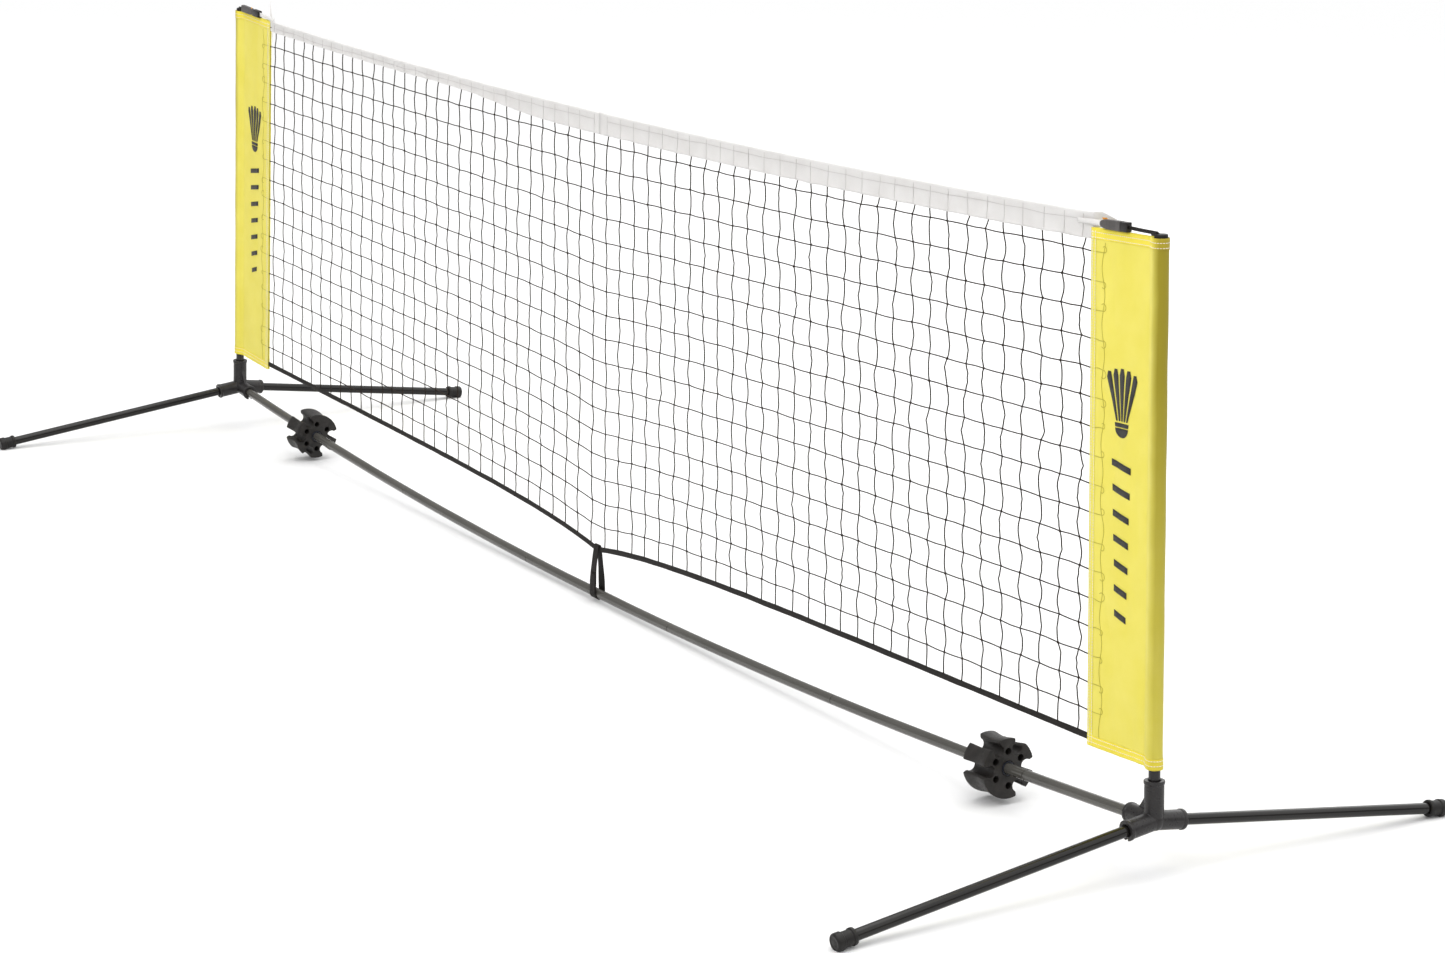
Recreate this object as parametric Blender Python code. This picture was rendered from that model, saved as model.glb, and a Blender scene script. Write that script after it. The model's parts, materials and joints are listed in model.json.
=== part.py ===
"""Portable badminton net on a push-together tube frame.

Frame: X runs along the net, Y across it (the legs), Z up.  The origin is on the
ground under the middle of the net.  All sizes are in metres.
"""
import bpy
import bmesh
from math import asin, atan2, cos, exp, pi, radians, sin, sqrt, tan
from mathutils import Matrix, Vector

# ---------------------------------------------------------------- driving sizes
SPAN = 3.0                    # between the two post sockets, at the connectors
NODE_HEIGHT = 0.0785          # centre of each connector above the ground
MID_HEIGHT = 0.0131           # crossbar's axis above the ground at mid span
POST_LEAN = radians(3.17)     # the net pulls both posts inwards
POST_TOP = 0.785              # connector centre to the top of the post cap
POST_SPLIT = 0.400            # connector centre to the joint of the two post tubes
LEG_REACH = 0.505             # connector centre to the middle of the foot cap
LEG_SPLAY = radians(1.2)

TUBE_D = 0.016
TUBE_WALL = 0.0012
SECTION = 0.487               # one long crossbar section
LONG_SECTIONS = 5
JOINT_GAP = 0.0012            # dark line between two crossbar sections
SPIGOT_LENGTH = 0.080
SPIGOT_BORE = 0.008
SPIGOT_PLAY = 0.0003
CORD_D = 0.004                # shock cord inside the crossbar

SOCKET_D = TUBE_D + 0.011
SOCKET_BORE_PLAY = 0.00035    # radial, tube to socket
SOCKET_RIM_D = SOCKET_D + 0.002
SOCKET_RIM_LENGTH = 0.0035
SOCKET_FLOOR = 0.012          # connector centre to the bottom of each bore
POST_SOCKET = 0.056
LEG_SOCKET = 0.048
BAR_SOCKET = 0.052
MOUTH_CHAMFER = 0.0015
GUSSET_THICKNESS = 0.004
GUSSET_RISE = 0.040
GUSSET_RUN = 0.037
GUSSET_TOP_RUN = 0.0067
RELIEF_SLOT_WIDTH = 0.005
RELIEF_SLOT_LENGTH = 0.012

CAP_R = TUBE_D / 2 + 0.0046     # foot cap at its fattest
CAP_LENGTH = 0.032
CAP_LIP_INSET = 0.003         # the cap's thin lip, then its step out to full thickness
CAP_STEP_INSET = 0.0018
CAP_STEP_RISE = 0.0015
CAP_SWELL_INSET = 0.0004
CAP_SWELL_RISE = 0.008
CAP_PLAY = 0.0003
CAP_GRIP = 0.022              # how far the leg tube goes into its foot cap
SOLE_CUT = 0.0008             # ground flat of the foot cap

HUB_X = SPAN / 2 - 0.349
HUB_D = 0.088
HUB_LENGTH = 0.050
BUSH_BORE_PLAY = 0.0009       # radial, lets the bush follow the bowed crossbar
BUSH_D = TUBE_D + 0.0046
BUSH_LENGTH = HUB_LENGTH + 0.0004
HUB_BORE_PLAY = 0.00015       # radial, hub to bush
NOTCH_R = TUBE_D / 2 + 0.0008   # a folded tube snaps into it
NOTCH_CENTRE = HUB_D / 2 - 0.0125
NOTCH_MOUTH = TUBE_D - 0.001
NOTCH_FLARE = 1.35
NOTCH_PITCH = radians(60)     # a full turn over the hub's six places
HUB_PLACES = 6
NOTCH_COUNT = HUB_PLACES - 1  # the last place is left solid
LEFT_HUB_TURN = radians(120)
RIGHT_HUB_TURN = radians(-60)
POCKET_RADIUS = HUB_D / 2 - 0.019
POCKET_WALL = 0.0019          # left between a pocket and the notches beside it
POCKET_DEPTH = 0.018

SLEEVE_REACH = 0.143          # post axis to the net-side edge
SLEEVE_BOTTOM = 0.0715        # along the post, from the connector centre
SLEEVE_TOP = 0.780
SLEEVE_LOOP_PLAY = 0.0016
CLOTH = 0.0012

POST_CAP_D = TUBE_D + 0.002
POST_CAP_HEAD = 0.0065
POST_CAP_PLUG = 0.014
POST_CAP_ROUNDING = 0.001
LUG_REACH = 0.0120
LUG_WIDTH = 0.0070
LUG_RISE = 0.0055

CLIP_HEIGHT = 0.014
CLIP_WIDTH = 0.010
CLIP_Y = -0.004                # the clips hang in front of the sleeves' middle
CLIP_NOSE = 0.018             # length of the clip's rounded end
CLIP_CLEAR = 0.0006           # clip body above the sleeve's top edge
PRONG_LENGTH = 0.014
PRONG_HEIGHT = 0.007
PRONG_WIDTH = 0.0045
PRONG_PLAY = 0.0004
TONGUE_HEIGHT = 0.0110
TONGUE_WIDTH = 0.0085
RIGHT_CLIP_START = 0.0745     # post axis to the clip body's open end
RIGHT_CLIP_LENGTH = 0.046
RIGHT_TONGUE_SHOWN = 0.014
LEFT_CLIP_START = 0.020
LEFT_CLIP_LENGTH = 0.052
LEFT_TONGUE_SHOWN = 0.028
STRAP_HEIGHT = 0.005
STRAP_THICKNESS = 0.002
TAIL_END = SLEEVE_REACH + 0.027
TAIL_HEIGHT = 0.008
TAIL_THICKNESS = 0.0012

BAND_HEIGHT_RIGHT = 0.036     # the headband narrows to the left, where it rolls over
BAND_HEIGHT_LEFT = 0.020
BAND_ROLL_CENTRE = -0.35
BAND_ROLL_WIDTH = 0.40
BAND_TOP_MID = 0.8359
BAND_TOP_TILT = 0.00715
BAND_TOP_BOW = 0.0141
BAND_WALL = 0.0008
BAND_GAP = 0.0038
HEADLINE_D = 0.003
NET_THICKNESS = 0.0012
NET_INTO_BAND = 0.010
NET_EDGE_GAP = 0.001
HEM_HEIGHT = 0.010            # bottom tape
HEM_THICKNESS = 0.002
HEM_MID = 0.1196
HEM_SLOPE = 0.0254
HEM_DIP = 0.0271              # pulled down where the centre strap holds it
HEM_DIP_WIDTH = 0.200
HEM_CROWDING = 1.6            # outline points stand closer together near the dip
BOTTOM_STRAP_WIDTH = 0.020
BOTTOM_STRAP_THICKNESS = 0.0015
BOTTOM_STRAP_PLAY = 0.0006

TOUCH = 0.0003                # air left between two pieces that touch
TUBE_SIDES = 16
SOCKET_SIDES = 20
BUSH_SIDES = 24
CAP_SIDES = 16
CORD_SIDES = 6
BOW_STEPS = 4                 # straight stretches in one bowed section
NET_STEPS = 24
POCKET_SIDES = 8
NOTCH_STEPS = 10
HORN_STEPS = 4                # straight stretches on the rim between two notches
LOOP_STEPS = 14
STRAP_LOOP_STEPS = 12
CAP_ARC_STEPS = 5
NOSE_STEPS = 6
EDGE_PASSES = 4               # enough to settle an end on the sleeve's edge
SHARP_ANGLE = radians(35)

TUBE_R = TUBE_D / 2
TUBE_BORE = TUBE_R - TUBE_WALL
BOW = (NODE_HEIGHT - MID_HEIGHT) / (SPAN / 2) ** 2
POCKET_TO_NOTCH = sqrt(
    POCKET_RADIUS ** 2 + NOTCH_CENTRE ** 2 - 2 * POCKET_RADIUS * NOTCH_CENTRE * cos(NOTCH_PITCH / 2)
)
POCKET_R = POCKET_TO_NOTCH - NOTCH_R - POCKET_WALL
LEG_DROOP = asin((NODE_HEIGHT - CAP_R + SOLE_CUT) / LEG_REACH)

# ---------------------------------------------------------------- materials


def finish(name, colour, roughness, metallic=0.0):
    material = bpy.data.materials.new(name)
    material.use_nodes = True
    shader = material.node_tree.nodes["Principled BSDF"]
    shader.inputs["Base Color"].default_value = (*colour, 1.0)
    shader.inputs["Roughness"].default_value = roughness
    shader.inputs["Metallic"].default_value = metallic
    material.diffuse_color = (*colour, 1.0)
    return material


FINISHES = {
    "crossbar": ("grey_coated_tube", (0.16, 0.15, 0.14), 0.28, 0.5),
    "leg": ("black_coated_tube", (0.022, 0.019, 0.018), 0.25, 0.2),
    "post": ("post_tube", (0.06, 0.055, 0.055), 0.30, 0.4),
    "spigot": ("spigot_plastic", (0.012, 0.012, 0.012), 0.6),
    "connector": ("connector_plastic", (0.052, 0.047, 0.046), 0.38),
    "cap": ("cap_plastic", (0.010, 0.009, 0.009), 0.5),
    "hub": ("hub_plastic", (0.024, 0.021, 0.019), 0.42),
    "sleeve": ("yellow_cloth", (0.90, 0.81, 0.18), 0.7),
    "band": ("white_tape", (0.86, 0.84, 0.82), 0.6),
    "net": ("dark_twine", (0.045, 0.032, 0.024), 0.8),
    "webbing": ("black_webbing", (0.020, 0.017, 0.015), 0.8),
    "clip": ("grey_clip_plastic", (0.11, 0.10, 0.10), 0.45),
    "elastic": ("shock_cord_elastic", (0.02, 0.02, 0.02), 0.8),
}


def material_for(kind):
    name, *values = FINISHES[kind]
    return bpy.data.materials.get(name) or finish(name, *values)


# ---------------------------------------------------------------- mesh helpers


def clear_scene():
    for old in list(bpy.data.objects):
        bpy.data.objects.remove(old)


def place(mesh_builder, name, kind, parent=None, smooth=True):
    """Turns a bmesh into a named object under its parent empty."""
    bmesh.ops.recalc_face_normals(mesh_builder, faces=mesh_builder.faces[:])
    mesh = bpy.data.meshes.new(name)
    mesh_builder.to_mesh(mesh)
    mesh_builder.free()
    if smooth:
        mesh.shade_smooth()
        mesh.set_sharp_from_angle(angle=SHARP_ANGLE)
    body = bpy.data.objects.new(name, mesh)
    bpy.context.scene.collection.objects.link(body)
    if kind:
        mesh.materials.append(material_for(kind))
    body.parent = parent
    return body


def guide(name, location, rotation=None):
    """An empty that stands on a joint's axis and carries the pieces on it."""
    empty = bpy.data.objects.new(name, None)
    bpy.context.scene.collection.objects.link(empty)
    empty.location = location
    if rotation is not None:
        empty.rotation_mode = "QUATERNION"
        empty.rotation_quaternion = rotation
    return empty


def cutter(mesh_builder, name, parent):
    tool = place(mesh_builder, name, None, parent, smooth=False)
    tool.hide_render = True
    tool.display_type = "WIRE"
    return tool


def combine(target, tool, operation):
    step = target.modifiers.new(f"{operation.lower()} {tool.name}", "BOOLEAN")
    step.operation = operation
    step.object = tool
    step.solver = "EXACT"


def ring(build, centre, right, up, radius, sides):
    corners = []
    for k in range(sides):
        angle = 2 * pi * k / sides
        corners.append(build.verts.new(centre + radius * (cos(angle) * right + sin(angle) * up)))
    return corners


def bridge(build, first, second):
    count = len(first)
    for k in range(count):
        after = (k + 1) % count
        build.faces.new((first[k], first[after], second[after], second[k]))


def swept_tube(path, outer, bore, sides):
    """Round tube along a list of points; a bore of 0 makes it a solid rod."""
    build = bmesh.new()
    shells = [outer, bore] if bore > 0 else [outer]
    shell_rings = []
    for radius in shells:
        rings = []
        for k, point in enumerate(path):
            ahead = path[min(k + 1, len(path) - 1)]
            behind = path[max(k - 1, 0)]
            along = (ahead - behind).normalized()
            right = Vector((0, 1, 0))
            if abs(along.y) > 0.9:
                right = Vector((1, 0, 0))
            right = (right - right.dot(along) * along).normalized()
            rings.append(ring(build, point, right, along.cross(right), radius, sides))
        for first, second in zip(rings, rings[1:]):
            bridge(build, first, second)
        shell_rings.append(rings)
    if bore > 0:
        for end in (0, -1):
            bridge(build, shell_rings[0][end], shell_rings[1][end])
    else:
        build.faces.new(shell_rings[0][0])
        build.faces.new(shell_rings[0][-1])
    return build


def straight_tube(start, end, outer, bore, sides=TUBE_SIDES):
    return swept_tube([Vector((0, 0, start)), Vector((0, 0, end))], outer, bore, sides)


def turned(profile, sides):
    """Turns a closed (radius, height) outline about Z; a radius of 0 is on the axis."""
    build = bmesh.new()
    rows = []
    for radius, height in profile:
        if radius == 0:
            rows.append([build.verts.new((0, 0, height))])
        else:
            centre = Vector((0, 0, height))
            rows.append(ring(build, centre, Vector((1, 0, 0)), Vector((0, 1, 0)), radius, sides))
    for first, second in zip(rows, rows[1:] + rows[:1]):
        if len(first) == 1 and len(second) == 1:
            continue
        if len(first) == 1 or len(second) == 1:
            tip, rim = (first[0], second) if len(first) == 1 else (second[0], first)
            for k in range(sides):
                build.faces.new((rim[k], rim[(k + 1) % sides], tip))
        else:
            bridge(build, first, second)
    return build


def prism(outline, low, high, axis="Y"):
    """Extrudes a flat outline of (first, second) points between low and high."""
    build = bmesh.new()

    def corner(first, second, level):
        if axis == "Y":
            return build.verts.new((first, level, second))
        if axis == "X":
            return build.verts.new((level, first, second))
        return build.verts.new((first, second, level))

    bottom = [corner(a, b, low) for a, b in outline]
    top = [corner(a, b, high) for a, b in outline]
    build.faces.new(bottom)
    build.faces.new(top)
    bridge(build, bottom, top)
    return build


def block(low, high):
    outline = [(low[0], low[1]), (high[0], low[1]), (high[0], high[1]), (low[0], high[1])]
    return prism(outline, low[2], high[2], axis="Z")


# ---------------------------------------------------------------- curves of the net


def bar_height(x):
    """Axis of the bowed crossbar."""
    return MID_HEIGHT + BOW * x * x


def bar_slope(x):
    return 2 * BOW * x


def band_top(x):
    return BAND_TOP_MID + BAND_TOP_TILT * x + BAND_TOP_BOW * x * x


def band_height(x):
    share = min(1.0, max(0.0, (x - BAND_ROLL_CENTRE) / BAND_ROLL_WIDTH + 0.5))
    ease = share * share * (3 - 2 * share)
    return BAND_HEIGHT_LEFT + (BAND_HEIGHT_RIGHT - BAND_HEIGHT_LEFT) * ease


def hem_centre(x):
    """Middle of the bottom tape: a shallow V, flat and pulled down inside the centre strap."""
    away = max(0.0, abs(x) - BOTTOM_STRAP_WIDTH / 2 - BOTTOM_STRAP_PLAY)
    return HEM_MID + HEM_SLOPE * away - HEM_DIP * exp(-away / HEM_DIP_WIDTH)


def net_edge(height):
    """Half the free width of the net at a height, along the sleeves' leaning edges."""
    reach = SLEEVE_REACH + NET_EDGE_GAP
    return SPAN / 2 - (height - NODE_HEIGHT) * tan(POST_LEAN) - reach / cos(POST_LEAN)


# ---------------------------------------------------------------- crossbar


def bar_points(start, end, steps):
    points = []
    for k in range(steps + 1):
        x = start + (end - start) * k / steps
        points.append(Vector((x, 0, bar_height(x))))
    return points


def crossbar_joints():
    first = -LONG_SECTIONS * SECTION / 2
    return [first + k * SECTION for k in range(LONG_SECTIONS + 1)]


def build_crossbar():
    joints = crossbar_joints()
    end = SPAN / 2 - (SOCKET_FLOOR + TOUCH)
    cuts = [-end] + joints + [end]
    for k, (start, stop) in enumerate(zip(cuts, cuts[1:])):
        low = start + (JOINT_GAP / 2 if k > 0 else 0)
        high = stop - (JOINT_GAP / 2 if k < len(joints) else 0)
        steps = BOW_STEPS if stop - start > SECTION * 0.6 else BOW_STEPS // 2
        build = swept_tube(bar_points(low, high, steps), TUBE_R, TUBE_BORE, TUBE_SIDES)
        place(build, f"crossbar_section_{k + 1}", "crossbar")
    for k, x in enumerate(joints):
        ends = bar_points(x - SPIGOT_LENGTH / 2, x + SPIGOT_LENGTH / 2, 2)
        build = swept_tube(ends, TUBE_BORE - SPIGOT_PLAY, SPIGOT_BORE / 2, TUBE_SIDES)
        place(build, f"crossbar_spigot_{k + 1}", "spigot")
    cord = swept_tube(bar_points(-end, end, NET_STEPS), CORD_D / 2, 0, CORD_SIDES)
    place(cord, "crossbar_shock_cord", "elastic")


# ---------------------------------------------------------------- directions


def side_name(side):
    return "right" if side > 0 else "left"


def node_centre(side):
    return Vector((side * SPAN / 2, 0, NODE_HEIGHT))


def leg_direction(side, way):
    level = cos(LEG_DROOP)
    return Vector((side * sin(LEG_SPLAY) * level, way * cos(LEG_SPLAY) * level, -sin(LEG_DROOP)))


def bar_direction(side):
    """From the connector along the crossbar, towards mid span."""
    return Vector((-side, 0, -bar_slope(SPAN / 2))).normalized()


def aim(direction):
    return direction.to_track_quat("Z", "Y")


def post_turn(side):
    return Matrix.Rotation(-side * POST_LEAN, 3, "Y").to_quaternion()


# ---------------------------------------------------------------- connectors


def socket_shell(length):
    rim = SOCKET_RIM_D / 2
    barrel = SOCKET_D / 2
    profile = [
        (0, 0),
        (barrel, 0),
        (barrel, length - SOCKET_RIM_LENGTH - (rim - barrel)),
        (rim, length - SOCKET_RIM_LENGTH),
        (rim, length),
        (0, length),
    ]
    return turned(profile, SOCKET_SIDES)


def socket_bore(length):
    radius = TUBE_R + SOCKET_BORE_PLAY
    past = length + SOCKET_RIM_LENGTH
    profile = [
        (0, SOCKET_FLOOR),
        (radius, SOCKET_FLOOR),
        (radius, length - MOUTH_CHAMFER),
        (radius + MOUTH_CHAMFER + SOCKET_RIM_LENGTH, past),
        (0, past),
    ]
    return turned(profile, SOCKET_SIDES)


def relief_slot(length, down):
    """Cuts the mouth's lower lip, so that the socket can spring open."""
    half = RELIEF_SLOT_WIDTH / 2
    start = length - RELIEF_SLOT_LENGTH
    past = length + SOCKET_RIM_LENGTH
    build = block((-half, 0, start), (half, SOCKET_RIM_D, past))
    bmesh.ops.rotate(build, verts=build.verts[:], matrix=Matrix.Rotation(down, 3, "Z"))
    return build


def slot_angle(turn):
    """Turn about a socket's own axis that points its relief slot to the ground."""
    down = turn.inverted() @ Vector((0, 0, -1))
    return atan2(down.y, down.x) - pi / 2


def build_connector(side):
    name = side_name(side)
    centre = node_centre(side)
    directions = [
        ("post", post_turn(side), POST_SOCKET),
        ("front_leg", aim(leg_direction(side, -1)), LEG_SOCKET),
        ("back_leg", aim(leg_direction(side, 1)), LEG_SOCKET),
        ("crossbar", aim(bar_direction(side)), BAR_SOCKET),
    ]
    guides = {}
    for label, turn, _ in directions:
        guides[label] = guide(f"{name}_{label}_line", centre, turn)
    connector = place(socket_shell(POST_SOCKET), f"{name}_connector", "connector", guides["post"])
    for label, _, length in directions[1:]:
        shell = cutter(socket_shell(length), f"{name}_{label}_barrel", guides[label])
        combine(connector, shell, "UNION")
    ball = bmesh.new()
    bmesh.ops.create_icosphere(ball, subdivisions=2, radius=SOCKET_D / 2 + TOUCH)
    combine(connector, cutter(ball, f"{name}_knuckle", guides["post"]), "UNION")
    reach = -side
    corner = [(0, 0), (reach * GUSSET_RUN, 0), (reach * GUSSET_TOP_RUN, GUSSET_RISE), (0, GUSSET_RISE)]
    web = prism(corner, -GUSSET_THICKNESS / 2, GUSSET_THICKNESS / 2)
    combine(connector, cutter(web, f"{name}_gusset", guides["post"]), "UNION")
    for label, turn, length in directions:
        bore = cutter(socket_bore(length), f"{name}_{label}_bore", guides[label])
        combine(connector, bore, "DIFFERENCE")
        if label != "post":
            slot = cutter(relief_slot(length, slot_angle(turn)), f"{name}_{label}_slot", guides[label])
            combine(connector, slot, "DIFFERENCE")


# ---------------------------------------------------------------- legs and feet


def foot_profile():
    """Outer outline of the foot cap and its blind bore, from the mouth to the tip."""
    bore = TUBE_R + CAP_PLAY
    arc_start = CAP_LENGTH - CAP_R
    outline = [
        (bore, 0),
        (CAP_R - CAP_LIP_INSET, 0),
        (CAP_R - CAP_STEP_INSET, CAP_STEP_RISE),
        (CAP_R - CAP_SWELL_INSET, CAP_SWELL_RISE),
    ]
    for k in range(CAP_ARC_STEPS):
        angle = pi / 2 * k / CAP_ARC_STEPS
        outline.append((CAP_R * cos(angle), arc_start + CAP_R * sin(angle)))
    outline.append((0, CAP_LENGTH))
    outline.append((0, CAP_GRIP + TOUCH))
    outline.append((bore, CAP_GRIP + TOUCH))
    return outline


def build_leg(side, way):
    name = f"{side_name(side)}_{'front' if way < 0 else 'back'}"
    line = guide(f"{name}_leg_axis", node_centre(side), aim(leg_direction(side, way)))
    mouth = LEG_REACH - CAP_LENGTH / 2
    start = SOCKET_FLOOR + TOUCH
    tube = straight_tube(start, mouth + CAP_GRIP, TUBE_R, TUBE_BORE)
    place(tube, f"{name}_leg", "leg", line)
    cap = turned(foot_profile(), CAP_SIDES)
    bmesh.ops.translate(cap, verts=cap.verts[:], vec=(0, 0, mouth))
    stand = aim(leg_direction(side, way)).to_matrix().to_4x4()
    ground = (Matrix.Translation(node_centre(side)) @ stand).inverted()
    bmesh.ops.recalc_face_normals(cap, faces=cap.faces[:])
    everything = cap.verts[:] + cap.edges[:] + cap.faces[:]
    cut = bmesh.ops.bisect_plane(
        cap,
        geom=everything,
        plane_co=ground @ Vector((0, 0, 0)),
        plane_no=ground.to_3x3() @ Vector((0, 0, -1)),
        clear_outer=True,
    )
    rim = [edge for edge in cut["geom_cut"] if isinstance(edge, bmesh.types.BMEdge)]
    bmesh.ops.contextual_create(cap, geom=rim)
    place(cap, f"{name}_foot_cap", "cap", line)


# ---------------------------------------------------------------- storage hubs


def hub_outline():
    """Six places round the rim: five open notches and one left solid."""
    rim = HUB_D / 2
    half_mouth = NOTCH_MOUTH / 2
    flare = half_mouth * NOTCH_FLARE
    flare_angle = asin(flare / rim)
    lip = asin(half_mouth / NOTCH_R)
    points = []
    for k in range(NOTCH_COUNT):
        turn = NOTCH_PITCH * k
        local = [(rim * cos(flare_angle), -flare)]
        for j in range(NOTCH_STEPS + 1):
            angle = -lip - (2 * pi - 2 * lip) * j / NOTCH_STEPS
            local.append((NOTCH_CENTRE + NOTCH_R * cos(angle), NOTCH_R * sin(angle)))
        local.append((rim * cos(flare_angle), flare))
        for a, b in local:
            points.append((a * cos(turn) - b * sin(turn), a * sin(turn) + b * cos(turn)))
        gap = NOTCH_PITCH if k < NOTCH_COUNT - 1 else 2 * NOTCH_PITCH
        steps = HORN_STEPS if k < NOTCH_COUNT - 1 else 2 * HORN_STEPS
        for j in range(1, steps):
            angle = turn + flare_angle + (gap - 2 * flare_angle) * j / steps
            points.append((rim * cos(angle), rim * sin(angle)))
    return points


def build_hub(side):
    name = side_name(side)
    turn = RIGHT_HUB_TURN if side > 0 else LEFT_HUB_TURN
    x = side * HUB_X
    tilt = Vector((1, 0, bar_slope(x))).to_track_quat("X", "Z")
    line = guide(f"{name}_hub_axis", Vector((x, 0, bar_height(x))), tilt)
    outline = []
    for a, b in hub_outline():
        outline.append((a * cos(turn) - b * sin(turn), a * sin(turn) + b * cos(turn)))
    half = HUB_LENGTH / 2
    hub = place(prism(outline, -half, half, axis="X"), f"{name}_storage_hub", "hub", line)
    past = half + POCKET_DEPTH
    bore_ends = [Vector((-past, 0, 0)), Vector((past, 0, 0))]
    bore = swept_tube(bore_ends, BUSH_D / 2 + HUB_BORE_PLAY, 0, BUSH_SIDES)
    combine(hub, cutter(bore, f"{name}_hub_bore", line), "DIFFERENCE")
    bush_ends = [Vector((-BUSH_LENGTH / 2, 0, 0)), Vector((BUSH_LENGTH / 2, 0, 0))]
    bush = swept_tube(bush_ends, BUSH_D / 2, TUBE_R + BUSH_BORE_PLAY, BUSH_SIDES)
    place(bush, f"{name}_hub_bush", "spigot", line)
    for k in range(HUB_PLACES):
        angle = turn + NOTCH_PITCH * (k + 0.5)
        centre = Vector((0, POCKET_RADIUS * cos(angle), POCKET_RADIUS * sin(angle)))
        for face in (-1, 1):
            start = centre + Vector((face * (half - POCKET_DEPTH), 0, 0))
            end = centre + Vector((face * past, 0, 0))
            pocket = swept_tube([start, end], POCKET_R, 0, POCKET_SIDES)
            tool = cutter(pocket, f"{name}_hub_pocket_{k}_{'in' if face < 0 else 'out'}", line)
            combine(hub, tool, "DIFFERENCE")


# ---------------------------------------------------------------- posts and sleeves


def sleeve_outline(side):
    """Loop round the post, drawn together into a flat double cloth to the net."""
    loop = TUBE_R + SLEEVE_LOOP_PLAY + CLOTH
    half = CLOTH
    reach = -side
    join = asin(half / loop)
    points = [(reach * SLEEVE_REACH, -half), (reach * SLEEVE_REACH, half)]
    for k in range(LOOP_STEPS + 1):
        angle = join + (2 * pi - 2 * join) * k / LOOP_STEPS
        points.append((reach * loop * cos(angle), loop * sin(angle)))
    return points


def build_post(side):
    name = side_name(side)
    line = guide(f"{name}_post_axis", node_centre(side), post_turn(side))
    start = SOCKET_FLOOR + TOUCH
    head = POST_TOP - POST_CAP_HEAD
    lower = straight_tube(start, POST_SPLIT - JOINT_GAP / 2, TUBE_R, TUBE_BORE)
    place(lower, f"{name}_post_lower", "post", line)
    upper = straight_tube(POST_SPLIT + JOINT_GAP / 2, head - TOUCH, TUBE_R, TUBE_BORE)
    place(upper, f"{name}_post_upper", "post", line)
    half = SPIGOT_LENGTH / 2
    spigot = straight_tube(
        POST_SPLIT - half, POST_SPLIT + half, TUBE_BORE - SPIGOT_PLAY, SPIGOT_BORE / 2
    )
    place(spigot, f"{name}_post_spigot", "spigot", line)

    plug = TUBE_BORE - SPIGOT_PLAY
    cap_r = POST_CAP_D / 2
    profile = [(0, head - POST_CAP_PLUG), (plug, head - POST_CAP_PLUG), (plug, head), (cap_r, head)]
    profile += [(cap_r, POST_TOP - POST_CAP_ROUNDING), (cap_r - POST_CAP_ROUNDING, POST_TOP), (0, POST_TOP)]
    cap = place(turned(profile, SOCKET_SIDES), f"{name}_post_cap", "cap", line)
    reach = -side
    low_x, high_x = sorted((reach * plug / 2, reach * LUG_REACH))
    lug = block(
        (low_x, CLIP_Y - LUG_WIDTH / 2, POST_TOP - POST_CAP_HEAD / 2),
        (high_x, CLIP_Y + LUG_WIDTH / 2, POST_TOP + LUG_RISE),
    )
    combine(cap, cutter(lug, f"{name}_cap_lug", line), "UNION")

    sleeve = place(
        prism(sleeve_outline(side), SLEEVE_BOTTOM, SLEEVE_TOP, axis="Z"), f"{name}_sleeve", "sleeve", line
    )
    hole = straight_tube(0, POST_TOP + POST_CAP_HEAD, TUBE_R + SLEEVE_LOOP_PLAY, 0, SOCKET_SIDES)
    combine(sleeve, cutter(hole, f"{name}_sleeve_hole", line), "DIFFERENCE")
    build_clip(side, line)


# ---------------------------------------------------------------- headline clips


def along_net(side, near, far):
    """The local X range of a stretch measured from the post axis towards the net."""
    return sorted((-side * near, -side * far))


def clip_block(side, near, far, height, width, level):
    low_x, high_x = along_net(side, near, far)
    return block(
        (low_x, CLIP_Y - width / 2, level - height / 2), (high_x, CLIP_Y + width / 2, level + height / 2)
    )


def clip_shell(side, near, far, level):
    """Clip body: a block whose net end is rounded off."""
    half = CLIP_HEIGHT / 2
    reach = -side
    outline = [(reach * near, level - half), (reach * near, level + half)]
    for k in range(NOSE_STEPS + 1):
        angle = pi / 2 - pi * k / NOSE_STEPS
        outline.append((reach * (far - CLIP_NOSE + CLIP_NOSE * cos(angle)), level + half * sin(angle)))
    return prism(outline, CLIP_Y - CLIP_WIDTH / 2, CLIP_Y + CLIP_WIDTH / 2)


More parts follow.
